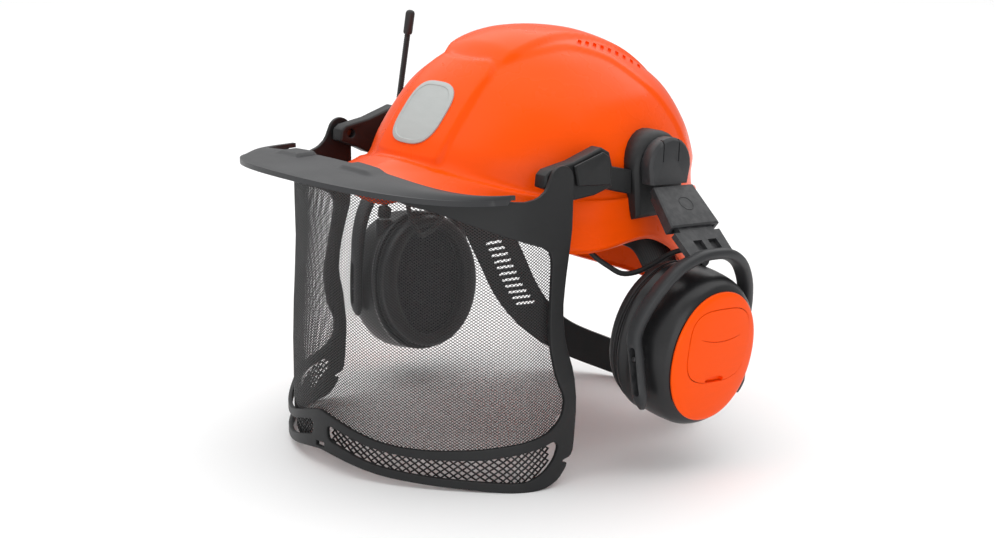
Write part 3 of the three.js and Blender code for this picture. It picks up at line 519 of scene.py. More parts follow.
def shell_points(turn, rise):
    """The shell's smooth outer face, by turn from the front and by rise from lip to crown, each 0 to 1."""
    theta = turn * 2 * math.pi
    s, c = np.sin(theta), np.cos(theta)
    row = rise * (len(FRONT) - 1)

    def read(profile, part):
        return table([(i, pair[part]) for i, pair in enumerate(profile)], row)

    ahead = c > 0
    x = read(SIDE, 0) * np.sign(s) * np.abs(s) ** SHELL["boxiness"]
    reach = np.where(ahead, read(FRONT, 0), read(REAR, 0))
    y = SHELL["centre_y"] - reach * np.sign(c) * np.abs(c) ** SHELL["boxiness"]
    z = np.where(ahead, read(FRONT, 1), read(REAR, 1)) * c * c + read(SIDE, 1) * s * s
    lip = table(LIP, np.degrees(np.arccos(np.clip(c, -1, 1))))
    ledge = np.where(ahead, FRONT[LEDGE][1], REAR[LEDGE][1]) * c * c + SIDE[LEDGE][1] * s * s
    low = np.where(row < 1, lip + LIP_EDGE * row, lerp(lip + LIP_EDGE, ledge, (row - 1) / (LEDGE - 1)))
    return np.stack([x, y, np.where(row < LEDGE, low, z)], -1)


def shell_relief(p):
    """Height of the front panel, spine, plateaus and lip bead above the smooth shell."""
    x, y, z = np.abs(p[..., 0]), p[..., 1], p[..., 2]
    corner = PANEL["corner"]
    dx = x - (PANEL["half"] - corner)
    dz = corner - (PANEL["top"] - z) * PANEL["slope"]
    outside = np.hypot(np.maximum(dx, 0), np.maximum(dz, 0)) + np.minimum(np.maximum(dx, dz), 0) - corner
    panel = PANEL["rise"] * (1 - ease(-1.7, 1.5, outside)) * (y < 0) * ease(198, 205, z)
    spine_gap = x - table(SPINE_EDGE, y)
    plateau_gap = x - table(PLATEAU_EDGE, y)
    behind = ease(-58, -40, y)
    spine = RISE["spine"] * (1 - ease(-3.5, 1.0, spine_gap)) * behind * (1 - ease(60, 105, y))
    plateau = RISE["plateau"] * (1 - ease(-1.7, 1.7, plateau_gap)) * behind * ease(178, 192, z)
    bead = RISE["bead"] * ease(1.0, 0.0, np.abs(rise_of(p) - 0.5) / 0.5)
    return np.maximum(panel, 0) + spine + plateau + bead - CROWN_DROP * ease(DROP_FROM, DROP_TO, z)


def rise_of(p):
    """Height above the lip in lip widths, 0 to 1 across the rounded bead."""
    across = np.abs(p[..., 0]) / SIDE[0][0]
    ahead = -(p[..., 1] - SHELL["centre_y"]) / REAR[0][0]
    turned = np.degrees(np.arctan2(across, ahead))
    return (p[..., 2] - table(LIP, turned)) / (1.6 * LIP_EDGE)


def grid_normals(p):
    """Normals of a grid whose rows go round and whose columns go up."""
    around = np.roll(p, -1, 0) - np.roll(p, 1, 0)
    up = np.gradient(p, axis=1)
    n = np.cross(around, up)
    n /= np.maximum(np.linalg.norm(n, axis=-1, keepdims=True), 1e-9)
    away = n[..., 0] * p[..., 0] + n[..., 1] * (p[..., 1] - SHELL["centre_y"]) + n[..., 2] * 40
    n[away < 0] *= -1
    n[:, -1] = (0, 0, 1)
    return n


def cut_grooves(shell, surface):
    """Shallow slanted grooves in two rows over the crown, each square to the surface under it."""
    reach = VENTS["length"] / 2 - VENTS["width"] / 2
    t = np.linspace(-math.pi / 2, math.pi / 2, 9)
    end = np.stack([reach + VENTS["width"] / 2 * np.cos(t), VENTS["width"] / 2 * np.sin(t)], 1)
    stadium = np.concatenate([end, -end])
    for s in (-1, 1):
        for i in range(VENTS["count"]):
            above = Vector((s * (VENTS["x"] + VENTS["spread"] * i), VENTS["y"] + VENTS["pitch"] * i, 400))
            centre, normal = surface.ray_cast(above, Vector((0, 0, -1)))[:2]
            out = normal if normal.z > 0 else -normal
            slant = math.radians(VENTS["slant"])
            along = Vector((math.cos(slant), -s * math.sin(slant), 0))
            along = (along - out * along.dot(out)).normalized()
            across = out.cross(along)
            levels = [centre + out * h for h in (-VENTS["depth"], 8)]
            rings = [[level + along * a + across * b for a, b in stadium] for level in levels]
            boolean(shell, skin("groove", rings))


def add_badge(surface):
    """Plain silver plate on the front panel, with a raised rim."""
    # share of the way out, and height as a share of the thickness
    profile = [(0.02, 0.55), (0.3, 0.55), (0.6, 0.55), (0.8, 0.55), (0.86, 0.6), (0.88, 1.0), (0.97, 1.0),
               (1.0, 0.8), (1.0, -0.6)]
    sides = 96
    edge = oval(BADGE["a"], BADGE["b"], sides, BADGE["power"])
    rings = []
    for k, lift in profile:
        ring = []
        for x, z in edge * k:
            start = Vector((x, -300, BADGE["z"] + z))
            at, normal = surface.ray_cast(start, Vector((0, 1, 0)))[:2]
            out = normal if normal.y < 0 else -normal
            ring.append(at + out * lift * BADGE["thick"])
        rings.append(ring)
    plate = skin("badge_plate", rings, smooth=35)
    finish_piece(plate, "helmet", "badge", "front_badge")


def add_shell():
    turns = np.arange(SHELL["turns"]) / SHELL["turns"]
    turn, rise = np.meshgrid(turns, np.linspace(0, 0.997, SHELL["rows"]), indexing="ij")
    smooth = shell_points(turn, rise)
    normals = grid_normals(smooth)
    outer = smooth + normals * shell_relief(smooth)[..., None]
    sunk = CROWN_DROP * ease(DROP_FROM, DROP_TO, smooth[..., 2])
    inner = smooth - normals * (SHELL["wall"] + sunk)[..., None]
    rows, columns = outer.shape[:2]
    half = rows * columns
    faces = grid_faces(rows, columns, loop_rows=True) + grid_faces(rows, columns, loop_rows=True, start=half)
    for i in range(rows):
        a, b = i * columns, (i + 1) % rows * columns
        faces.append([a, b, b + half, a + half])
    crown = np.arange(rows) * columns + columns - 1
    faces.append(crown.tolist())
    faces.append((crown + half).tolist())
    outer, inner = outer.reshape(-1, 3), inner.reshape(-1, 3)
    shell = new_object("shell_body", np.concatenate([outer, inner]), faces, 50)
    surface = BVHTree.FromPolygons(outer.tolist(), grid_faces(rows, columns, loop_rows=True))
    cut_grooves(shell, surface)
    add_badge(surface)
    for s in (-1, 1):
        boolean(shell, skin("anchor", lathe([(s * x, ANCHOR["radius"]) for x in ANCHOR["reach"]], 24, "x",
                                            (0, 0, ANCHOR["z"]))), "UNION")
    soften(shell, 50)
    finish_piece(shell, "helmet", "shell", "helmet_shell")


# ---------- visor ----------
# sections across the visor: height, half width and depth from front to back
LEVELS = [(0, 128.5, 74.5), (70, 128.5, 74.5), (98, 126, 75), (117, 123.5, 76), (146, 120.5, 77.5),
          (170, 121.5, 77.5), (210, 122, 77.5)]
BENDS = [level[0] for level in LEVELS[2:-1]]  # heights where the sections change
PLAN_ROUNDNESS = 2.1
SOFTEN = {"each": 4, "count": 4}  # mean over points this far apart, so that the side runs into the front
VISOR = {"frame": 3, "clear": 1.1, "mesh": 0.8}  # thickness of the frame and mesh, and the gap between
STRIP = 5  # the flat visor is cut into strips this wide before it is bent


def visor_plans():
    """At each level: height, arc lengths from the centre line, and the x and y there."""
    plans = []
    t = np.linspace(0, math.pi / 2, 161)
    for z, half_width, depth in LEVELS:
        back_y = -181.5 + depth
        x = half_width * np.sin(t)
        y = back_y - depth * np.maximum(0, np.cos(t)) ** PLAN_ROUNDNESS
        s = np.concatenate([[0], np.cumsum(np.hypot(np.diff(x), np.diff(y)))])
        plans.append((z, np.append(s, s[-1] + 200), np.append(x, half_width), np.append(y, back_y + 200)))
    return plans


PLANS = visor_plans()


def plan_point(s, z):
    steps = [level_point(s + k * SOFTEN["each"], z) for k in range(-SOFTEN["count"], SOFTEN["count"] + 1)]
    return np.mean([x for x, _ in steps], axis=0), np.mean([y for _, y in steps], axis=0)


def level_point(s, z):
    a = np.abs(s)
    xs = np.array([np.interp(a, lengths, x) for _, lengths, x, _ in PLANS])
    ys = np.array([np.interp(a, lengths, y) for _, lengths, _, y in PLANS])
    heights = np.array([plan[0] for plan in PLANS], float)
    i = np.clip(np.searchsorted(heights[1:], z, "left"), 0, len(PLANS) - 2)
    t = np.clip((z - heights[i]) / (heights[i + 1] - heights[i]), 0, 1)
    k = np.arange(len(a))
    return np.sign(s) * lerp(xs[i, k], xs[i + 1, k], t), lerp(ys[i, k], ys[i + 1, k], t)


def on_visor(s, z, depth):
    """Points on the visor by arc length, height and depth behind the outer face."""
    s, z, depth = (a.ravel().astype(float) for a in np.broadcast_arrays(s, z, depth))
    x0, y0 = plan_point(s - 1, z)
    x1, y1 = plan_point(s + 1, z)
    size = np.hypot(x1 - x0, y1 - y0)
    x, y = plan_point(s, z)
    return np.stack([x - (y1 - y0) / size * depth, y + (x1 - x0) / size * depth, z], -1)


EAR_S = 178
EAR_RADIUS = 9.5
EAR_ARC = [(EAR_S + EAR_RADIUS * math.cos(t), HINGE["z"] + EAR_RADIUS * math.sin(t))
           for t in np.linspace(0, 0.86 * math.pi, 13)]
# outlines on the visor: arc length from the centre line, and height
FRAME_EDGE = [(0, 13.8), (15, 12), (35, 8.3), (54, 5.3), (89, 2.6), (121, 0.8), (140, 0), (160, 0),
              (170, 1.6), (178, 5.1), (184, 11.8), (185, 15), (181.5, 15.8), (181.5, 17.3), (188, 18.6),
              (190.5, 24), (193, 54), (190.7, 74), (182.6, 96), (180, 116), (182, 136), (185, 155),
              (187, 170), *EAR_ARC, (165, 196), (158, 191.5), (146, 189.5), (121, 193), (90, 196.5),
              (60, 199), (0, 200)]
MESH_WINDOW = [(0, 41.2), (4, 40.5), (18, 37), (35, 32), (50, 28.3), (68, 26.4), (89, 26), (121, 28.5),
               (136, 31.2), (152, 33.7), (166, 36.8), (175, 41), (181, 47.6), (183, 56.6), (181.5, 62),
               (174.5, 76.8), (169.5, 97.7), (169.5, 124), (170.6, 149), (167.4, 157.4), (147, 163.9),
               (121, 172.3), (90, 182.8), (70, 188), (40, 193), (0, 195)]
CHIN_WINDOW = [(8, 32.8), (26.6, 28.4), (43, 23.7), (68, 20.8), (89, 20), (121, 21.2), (141.5, 25.1),
               (163.4, 28.9), (174.2, 31.7), (177.7, 27.4), (174.3, 19.1), (166.4, 12.2), (155, 7.2),
               (147, 6.2), (121, 7), (89, 8.3), (68, 10), (50, 11.8), (35, 15), (22, 18.8), (8, 22.1)]
CENTRE_SLOT = [(-4.6, 15.6), (4.6, 15.6), (4.6, 18.8), (-4.6, 18.8)]


def both_sides(half):
    return half + [(-s, z) for s, z in reversed(half) if s > 0]


def rounded(points, step=3.0, passes=2):
    """Outline with more points and its corners eased."""
    points = np.array(points, float)
    for _ in range(passes):
        following = np.roll(points, -1, 0)
        points = np.stack([0.8 * points + 0.2 * following, 0.2 * points + 0.8 * following], 1).reshape(-1, 2)
    dense = []
    for a, b in zip(points, np.roll(points, -1, 0)):
        count = max(1, int(np.linalg.norm(b - a) / step))
        dense += [a + (b - a) * k / count for k in range(count)]
    return np.array(dense)


def flat_plate(name, outlines, thickness, edge):
    """Flat plate in x and y with holes, its edges rounded; returns points in millimetres and faces."""
    data = bpy.data.curves.new(name, "CURVE")
    data.dimensions = "2D"
    data.fill_mode = "BOTH"
    data.extrude = thickness / 2 - edge
    data.bevel_depth = edge
    data.bevel_resolution = 2
    data.offset = -edge
    for outline in outlines:
        spline = data.splines.new("POLY")
        spline.points.add(len(outline) - 1)
        for point, (a, b) in zip(spline.points, outline):
            point.co = (a, b, 0, 1)
        spline.use_cyclic_u = True
    obj = bpy.data.objects.new(name, data)
    bpy.context.scene.collection.objects.link(obj)
    mesh = bpy.data.meshes.new_from_object(obj.evaluated_get(bpy.context.evaluated_depsgraph_get()))
    bpy.data.objects.remove(obj)
    work = bmesh.new()
    work.from_mesh(mesh)
    bmesh.ops.remove_doubles(work, verts=work.verts, dist=1e-3)
    low, high = (f(v.co.x for v in work.verts) for f in (min, max))
    for s in np.arange(math.ceil(low / STRIP) * STRIP, high, STRIP):
        everything = work.verts[:] + work.edges[:] + work.faces[:]
        bmesh.ops.bisect_plane(work, geom=everything, plane_co=(s, 0, 0), plane_no=(1, 0, 0), dist=1e-4)
    for z in BENDS:
        everything = work.verts[:] + work.edges[:] + work.faces[:]
        bmesh.ops.bisect_plane(work, geom=everything, plane_co=(0, z, 0), plane_no=(0, 1, 0), dist=1e-4)
    bmesh.ops.recalc_face_normals(work, faces=work.faces)
    work.verts.index_update()
    points = np.array([v.co[:] for v in work.verts])
    faces = [[v.index for v in f.verts] for f in work.faces]
    work.free()
    bpy.data.meshes.remove(mesh)
    return points, faces


def add_visor_frame():
    other_chin = [(-s, z) for s, z in reversed(CHIN_WINDOW)]
    outlines = [rounded(both_sides(FRAME_EDGE), passes=1), rounded(both_sides(MESH_WINDOW)),
                rounded(CHIN_WINDOW), rounded(other_chin), np.array(CENTRE_SLOT)]
    points, faces = flat_plate("frame_flat", outlines, VISOR["frame"], 0.6)
    bent = on_visor(points[:, 0], points[:, 1], VISOR["frame"] / 2 - points[:, 2])
    rim = new_object("visor_rim", bent, faces, 50)
    finish_piece(rim, "visor", "black_plastic", "visor_frame")


def lattice(name, pitch, rise, wire, inside, depth, side=None):
    """Diamond lattice of thin wires on the visor, kept where inside(s, z) holds; side keeps one half."""
    sides = 4
    points, faces = [], []
    count_s, count_z = int(200 / pitch) + 1, int(210 / rise) + 1
    for lean in (1, -1):
        for start in range(-2 * count_s - 2 * count_z, 2 * count_s + 2 * count_z, 2):
            j = np.arange(0, 2 * count_z)
            i = start + lean * j
            s, z = i * pitch / 2, j * rise / 2
            keep = inside(s, z) & (np.abs(s) < 195)
            if side:
                keep &= s * side >= -1e-6
            for run in np.split(np.arange(len(s)), np.flatnonzero(np.diff(keep.astype(int))) + 1):
                if not keep[run[0]] or len(run) < 2:
                    continue
                wave = 0.25 * wire * lean * (1 - 2 * (j[run] % 2))
                centre = on_visor(s[run], z[run], depth + wave)
                base = len(points) * sides
                across = np.gradient(centre, axis=0)
                across /= np.linalg.norm(across, axis=1, keepdims=True)
                out = on_visor(s[run], z[run], depth - 5) - on_visor(s[run], z[run], depth)
                out /= np.linalg.norm(out, axis=1, keepdims=True)
                flat = np.cross(across, out)
                for c, o, f in zip(centre, out, flat):
                    points.append([c + wire / 2 * d for d in (o + f, f - o, -o - f, o - f)])
                rows = len(run)
                faces += grid_faces(rows, sides, loop_columns=True, start=base)
                for end in (base, base + (rows - 1) * sides):
                    faces.append([end + k for k in range(sides)])
    mesh = bpy.data.meshes.new(name)
    mesh.from_pydata(to_row(np.array(points).reshape(-1, 3)).tolist(), [], faces)
    obj = bpy.data.objects.new(name, mesh)
    bpy.context.scene.collection.objects.link(obj)
    work = bmesh.new()
    work.from_mesh(mesh)
    bmesh.ops.recalc_face_normals(work, faces=work.faces)
    work.to_mesh(mesh)
    work.free()
    return obj


MESH_LOW = [(0, 37), (20, 32), (50, 24.2), (90, 22.8), (121, 25), (152, 30), (166, 33), (180, 40)]
MESH_HIGH = [(0, 198), (70, 192), (90, 187), (121, 177), (150, 167), (175, 160)]
MESH_REACH = [(0, 175), (0.1, 185), (0.25, 184), (0.45, 175.5), (1, 175)]
CHIN_LOW = [(5, 19), (22, 15.6), (35, 12), (50, 8.8), (89, 5.5), (121, 4.2), (147, 3.6), (160, 6), (176, 14)]
CHIN_HIGH = [(5, 35.6), (26.6, 31), (43, 26.4), (68, 23.4), (89, 22.3), (121, 23.6), (163, 31.6), (176, 34.6)]
MESH_WIRE = {"pitch": 2.95, "rise": 1.95, "wire": 0.36}
CHIN_BAR = {"pitch": 6.0, "rise": 4.2, "wire": 0.95}


def in_mesh(s, z):
    a = np.abs(s)
    low, high = table(MESH_LOW, a), table(MESH_HIGH, a)
    return (z > low) & (z < high) & (a < table(MESH_REACH, (z - low) / (high - low)))


def in_chin(s, z):
    a = np.abs(s)
    return (a > 5) & (a < 177) & (z > table(CHIN_LOW, a)) & (z < table(CHIN_HIGH, a))


def add_visor_meshes():
    depth = VISOR["frame"] + VISOR["clear"] + VISOR["mesh"] / 2
    chin_depth = VISOR["frame"] + 2 * VISOR["clear"] + VISOR["mesh"] + 0.5
    for side, s in SIDES.items():
        wires = lattice(f"visor_wires_{side}", **MESH_WIRE, inside=in_mesh, depth=depth, side=s)
        finish_piece(wires, "visor", "wire", "visor_mesh")
        bars = lattice(f"chin_bars_{side}", **CHIN_BAR, inside=in_chin, depth=chin_depth, side=s)
        finish_piece(bars, "visor", "black_plastic", f"chin_grille_{side}")


PEAK = {"half": 123, "front": 206, "back": -96, "inner": 168, "thick": 3, "sweep": 80}
CATCH = {"from": 24, "to": 57, "rise": 2.4}  # raised catches beside the middle of the inner edge


def peak_grid(drop):
    u, v = np.meshgrid(np.linspace(-1, 1, 181), np.linspace(0, 1, 33), indexing="ij")
    t = u * math.radians(PEAK["sweep"])
    s, c = np.sin(t), np.cos(t)
    x = PEAK["half"] * np.sign(s) * np.abs(s) ** 0.86
    outer = np.stack([x, PEAK["back"] - (PEAK["front"] + PEAK["back"]) * c ** 0.86, 200 - 9.5 * s * s], -1)
    reach = lerp(PEAK["inner"], PEAK["front"] - 10, s * s)
    inner_y = PEAK["back"] - (reach + PEAK["back"]) * c ** 0.86 + 5
    inner = np.stack([0.99 * x, inner_y, 204.5 - 12 * s * s], -1)
    p = lerp(outer, inner, v[..., None])
    p[..., 2] += 1.6 * np.sin(v * math.pi) + drop
    if drop:
        far = np.abs(x)
        catch = ease(CATCH["from"] - 1, CATCH["from"] + 1, far)
        catch *= 1 - ease(CATCH["to"] - 12, CATCH["to"], far)
        p[..., 2] += CATCH["rise"] * catch * ease(0.6, 0.68, v) * (1 - ease(0.97, 1.0, v))
        p[..., 2] += 0.5 * (1 - ease(0.0, 0.06, v))
    return p


def add_peak():
    brim = sheet("peak_brim", peak_grid(PEAK["thick"]), peak_grid(0), smooth=45)
    bevel(brim, 0.8, 3, 45)
    finish_piece(brim, "visor", "dark_plastic", "visor_peak")


# ---------- harness ----------
NAPE_ROUTE = [(94, 0, 163), (95, 22, 152), (96, 37, 127), (96, 55, 95), (95, 71, 65), (89, 86, 43),
              (75, 100, 28), (42, 117, 17), (0, 124, 13)]
BAND = {"height": 26, "side": 34, "thick": 2}
BAND_SLOTS = {"count": 11, "start": 80, "pitch": 5.9, "length": 13.5, "height": 2.6, "rise": 5}
HEADBAND = {"a": 78, "b": 97, "y": -2, "low": 157, "high": 181, "slope": 0.1}
STRAP = {"width": 20, "thick": 1.5, "reach": 96, "foot": 190, "apex": 240, "turn": 40}


def mirror_route(half):
    return list(half) + [(-x, y, z) for x, y, z in reversed(half[:-1])]


def band_frames(route):
    """At each point of the nape band's route: the directions out of and across the band."""
    along = np.gradient(route, axis=0)
    out = route * (1, 1, 0) - (0, 10, 0)
    out /= np.linalg.norm(out, axis=1, keepdims=True)
    across = np.cross(out, along)
    across /= np.linalg.norm(across, axis=1, keepdims=True)
    across[across[:, 2] < 0] *= -1
    return out, across


def add_nape_band():
    route = catmull(mirror_route(NAPE_ROUTE), 221)
    out, across = band_frames(route)
    u = np.linspace(-0.5, 0.5, len(route))
    height = lerp(BAND["height"], BAND["side"], ease(0.14, 0.3, np.abs(u)))
    v = np.linspace(-0.5, 0.5, 61)
    ribs = 0.22 * (0.5 + 0.5 * np.cos(v * 16 * 2 * math.pi)) * (np.abs(v) < 0.44)
    faces = []
    for level, rib in ((BAND["thick"] / 2 - 0.2, ribs), (-BAND["thick"] / 2, 0 * ribs)):
        offset = level + rib[None, :] * np.ones((len(route), 1))
        faces.append(route[:, None] + out[:, None] * offset[..., None]
                     + across[:, None] * (v[None, :] * height[:, None])[..., None])
    band = sheet("nape_strap", faces[0], faces[1], smooth=45)
    half = catmull(NAPE_ROUTE, 1001)
    edge = oval(BAND_SLOTS["length"] / 2, BAND_SLOTS["height"] / 2, 40, 6)
    rise = math.radians(BAND_SLOTS["rise"])
    for i in range(BAND_SLOTS["count"]):
        k = int(1000 * (BAND_SLOTS["start"] + BAND_SLOTS["pitch"] * i) / length_of(half))
        y = half[k][1] + edge[:, 0] * math.cos(rise) - edge[:, 1] * math.sin(rise)
        z = half[k][2] + edge[:, 0] * math.sin(rise) + edge[:, 1] * math.cos(rise)
        for s in (-1, 1):
            ends = [np.column_stack([np.full(len(y), s * half[k][0] + x), y, z]) for x in (-8, 8)]
            boolean(band, skin("band_slot", ends))
    soften(band, 45)
    finish_piece(band, "nape", "black_plastic", "nape_band")


def add_crown_straps():
    for side, turn, lift in (("left", STRAP["turn"], 0), ("right", -STRAP["turn"], 3)):
        t = np.linspace(-1, 1, 81)
        along = STRAP["reach"] * t * (1 - 0.12 * (1 - t * t))
        high = lerp(STRAP["apex"] + lift, STRAP["foot"], np.abs(t) ** 2.4)
        v = np.linspace(-0.5, 0.5, 9)
        a = math.radians(turn)
        grids = []
        for grow in (STRAP["thick"], 0.2):
            p = np.empty((len(t), len(v), 3))
            x = v[None, :] * STRAP["width"] + 0 * t[:, None]
            p[..., 0] = x * math.cos(a) - along[:, None] * math.sin(a)
            p[..., 1] = x * math.sin(a) + along[:, None] * math.cos(a) + SHELL["centre_y"]
            edge = 0.25 * (np.abs(v) > 0.4)
            p[..., 2] = high[:, None] + grow - (edge if grow > 1 else -edge)
            grids.append(p)
        strap = sheet(f"crown_webbing_{side}", grids[0], grids[1])
        finish_piece(strap, "helmet", "webbing", f"crown_strap_{side}")


def add_sweatband():
    u = np.linspace(-1 / 6, 1 / 6, 97) * 2 * math.pi
    v = np.linspace(0, 1, 17)
    grids = []
    for inset, puff in ((0.5, 0), (4.2, 1)):
        quilt = puff * (np.sin(v * math.pi) ** 0.4)[None, :] * (0.75 + 0.25 * np.abs(np.sin(u * 24))[:, None])
        depth = inset * (1 - puff) + puff * (0.9 + 3.0 * quilt)
        a, b = HEADBAND["a"] - depth, HEADBAND["b"] - depth
        x, y = a * np.sin(u)[:, None], HEADBAND["y"] - b * np.cos(u)[:, None]
        z = lerp(HEADBAND["low"] + 0.5, HEADBAND["high"] - 0.5, v)[None, :] - HEADBAND["slope"] * y
        grids.append(np.stack([x + 0 * z, y + 0 * z, z], -1))
    pad = sheet("brow_pad", grids[0], grids[1])
    finish_piece(pad, "helmet", "webbing", "sweatband")


# ---------- ear muffs ----------
MOUNT = {"y": 20, "z": 194}
TURN = {"left": -3.4, "right": -5.2}
DROP = {"left": 0, "right": 11.5}
CUP = {"pivot_x": 151.5, "pivot_z": 80, "inset": 7, "tilt": 8}
ARM = {"x": 121, "z": 185, "lean": 50, "length": 35}
GROOVE = {"up": 8, "down": 25, "half": 2.4, "slope": 0.08}  # slot for the cup's pins, from the left pivot
# route of the fork from above the cup down its rear limb, from the muff's mount
FORK = [(166.5, 0, -46.5), (166, 14, -48), (163, 28, -55), (158.5, 39.5, -68), (153.5, 47, -83),
        (149.5, 50.5, -99), (150.8, 49.3, -113), (152.2, 47.2, -130), (153.6, 43.8, -148)]
CUP_Z = 3
# sections across the cup's axis: distance along it, half width and half height
CUP_OUTER = [(-15, 46.2, 51.7), (-13.5, 46.8, 52.7), (-12, 46.6, 52.6), (-9.5, 44.8, 52.6),
             (-6.5, 43.3, 52.6), (0, 43.4, 52.8), (9, 43.2, 52.5), (17, 42, 51.5), (23, 40, 48.5),
             (26, 37.5, 45.5)]
CUP_INNER = [(23.3, 35, 42), (17, 39.5, 48.5), (9, 40.5, 49), (-9, 40.5, 48), (-15, 43, 48.2)]
DOME = [(0, 0, 0), (1.2, 0.2, 0.2), (2.2, -0.6, -0.6), (3.3, -3.6, -3.6), (4.6, -11, -12), (5.3, -20, -24)]
COVER = {"x0": 26.3, "a": 36.5, "b": 44.5, "edge": 0.35}
KNOB = {"radius": 7.5, "y": 12, "z": -22}
# height above the cover's foot, radius and depth of the ridges
KNOB_PROFILE = [(1.8, 7.3, 0), (2.2, 7.4, 0.35), (7.2, 7.3, 0.35), (7.9, 6.6, 0.2), (8.0, 5.8, 0)]
AERIAL = {"x": -2, "y": -27, "z": 50.3, "lean": 14, "length": 160}
# route of each lead up from its cup, from the cup's centre
CABLE_RISE = [(-21.5, 14, 57.5), (-26, 13.5, 58), (-32, 8, 54.5), (-37, -3, 46), (-40, -14, 40.5),
              (-44, -24, 39), (-49, -32, 43), (-56, -43, 51), (-61, -50, 62), (-64, -54, 71)]
CABLE_CROSSING = [(90, -36, 190), (87, -37, 202), (79, -37, 221), (66, -36, 240), (48, -34, 253),
                  (25, -32, 261), (0, -31, 264)]
CABLE_DIAMETER = 3.6


def muff_matrix(side):
    turn = Matrix.Rotation(math.radians(TURN[side]), 4, "X")
    return Matrix.Translation((0, MOUNT["y"], MOUNT["z"])) @ turn


def cup_matrix(side):
    s = SIDES[side]
    drop = DROP[side]
    pivot = (s * (CUP["pivot_x"] + GROOVE["slope"] * drop), 0, CUP["pivot_z"] - drop - MOUNT["z"])
    tilt = Matrix.Rotation(math.radians(s * CUP["tilt"]), 4, "Y")
    inward = Matrix.Translation((-s * CUP["inset"], 0, 0))
    return muff_matrix(side) @ Matrix.Translation(pivot) @ tilt @ inward


def oval_rings(sections, sides=96, power=2.1):
    rings = []
    for x, a, b in sections:
        ring = oval(a, b, sides, power)
        rings.append(np.column_stack([np.full(sides, x), ring[:, 0], ring[:, 1] + CUP_Z]))
    return np.array(rings)


def finer(sections, per_span=4):
    """More sections between the given ones, on a smooth curve."""
    sections = np.array(sections, float)
    key = np.arange(len(sections))
    fine = np.linspace(0, len(sections) - 1, (len(sections) - 1) * per_span + 1)
    return np.stack([table(list(zip(key, sections[:, k])), fine) for k in range(3)], 1)


def leaned(points):
    """Points drawn flat along the arm (x is height above its hinge), leaned out about the hinge line."""
    flat = np.asarray(points, float)
    a = math.radians(ARM["lean"])
    x = flat[:, 0] * math.cos(a) - flat[:, 2] * math.sin(a)
    z = flat[:, 0] * math.sin(a) + flat[:, 2] * math.cos(a)
    return np.column_stack([x + ARM["x"], flat[:, 1], z + ARM["z"] - MOUNT["z"]])


def arm_plate(name, x0, x1, corners, matrix, side):
    """Plate in the arm's plane from corners given as y and distance along the arm."""
    rings = [leaned([(x, y, -along) for y, along in corners]) for x in (x0, x1)]
    return skin(name, placed(np.array(rings), matrix, side), smooth=35)


def add_yoke(side):
    matrix = muff_matrix(side)
    fork_points = [(x, -y, z) for x, y, z in reversed(FORK[1:])] + FORK
    route = catmull(fork_points, 121)
    width = lerp(12.0, 11.0, ease(-60, -90, route[:, 2]))
    end = np.minimum(np.arange(len(route)), np.arange(len(route))[::-1])
    taper = np.sqrt(np.clip((end + 0.6) / 4.5, 0, 1))
    rings = sweep(route, width * taper, 7.5 * taper, (1, 0, 0.2), sides=28, power=2.6)
    fork = skin(f"yoke_body_{side}", placed(rings, matrix, side), smooth=50)
    tongue = [(-15.5, 12), (-15.5, 40), (15.5, 40), (15.5, 12)]
    broad = [(-21, 38.5), (-20, 59), (19.5, 59), (20.5, 38.5)]
    for corners in (tongue, broad):
        boolean(fork, arm_plate("plate", -4.3, -0.1, corners, matrix, side), "UNION")
    for y in (-5.5, 8):
        corners = [(y - 4, 46), (y - 4, 54), (y + 4, 54), (y + 4, 46)]
        boolean(fork, arm_plate("window", -3.0, 6, corners, matrix, side))
    t = np.linspace(0, math.pi, 9)
    r = GROOVE["half"]
    top, foot = GROOVE["up"] - r, r - GROOVE["down"]
    x = np.concatenate([r * np.cos(t), -r * np.cos(t)])
    z = np.concatenate([top + r * np.sin(t), foot - r * np.sin(t)])
    slope = math.atan(GROOVE["slope"])
    groove_x = x * math.cos(slope) - z * math.sin(slope) + CUP["pivot_x"]
    groove_z = x * math.sin(slope) + z * math.cos(slope) + CUP["pivot_z"] - MOUNT["z"]
    groove = [np.column_stack([groove_x, np.full(len(x), y), groove_z]) for y in (-60, 60)]
    boolean(fork, skin("groove", placed(np.array(groove), matrix, side)))
    soften(fork, 40)
    bevel(fork, 0.5, 2, 50)
    finish_piece(fork, f"fork_{side}", "dark_plastic", f"yoke_{side}")


def add_arm_ring(side):
    """Plain raised ring on the outer face of the arm."""
    radius, y, along = 5.4, 3, 17
    b = circle(8)
    rings = []
    for a in circle(48):
        reach = radius + 0.5 * np.cos(b)
        rings.append(leaned(np.column_stack([2.35 + 0.45 * np.sin(b), y + reach * math.cos(a),
                                             reach * math.sin(a) - along])))
    ring = skin(f"arm_ring_{side}", placed(np.array(rings), muff_matrix(side), side), loop=True)
    finish_piece(ring, f"arm_{side}", "dark_plastic")


def add_cup_shell(side):
    matrix = cup_matrix(side)
    inner = [(23.3, 0.5, 0.5), *CUP_INNER]
    outer = [*map(tuple, finer(CUP_OUTER)), (26, 0.5, 0.5)]
    cup = skin(f"cup_body_{side}", placed(oval_rings(inner + outer), matrix, side), smooth=50)
    bosses = [lathe([(-21, 3.2), (-20.5, 3.9), (-15, 4.1), (-9, 4.4), (-6, 3.4)], 28, "x", (0, 14, 56.3))]
    if side == "right":
        foot = (AERIAL["x"], AERIAL["y"], 0)
        bosses.append(lathe([(36, 7), (46, 6.4), (49.2, 6.2), (50, 5.4)], 28, "z", foot))
    for rings in bosses:
        boolean(cup, skin("boss", placed(rings, matrix, side)), "UNION")
    clean_edges(cup, 0.4, 45)
    finish_piece(cup, f"cup_{side}", "cup_plastic", f"cup_shell_{side}")


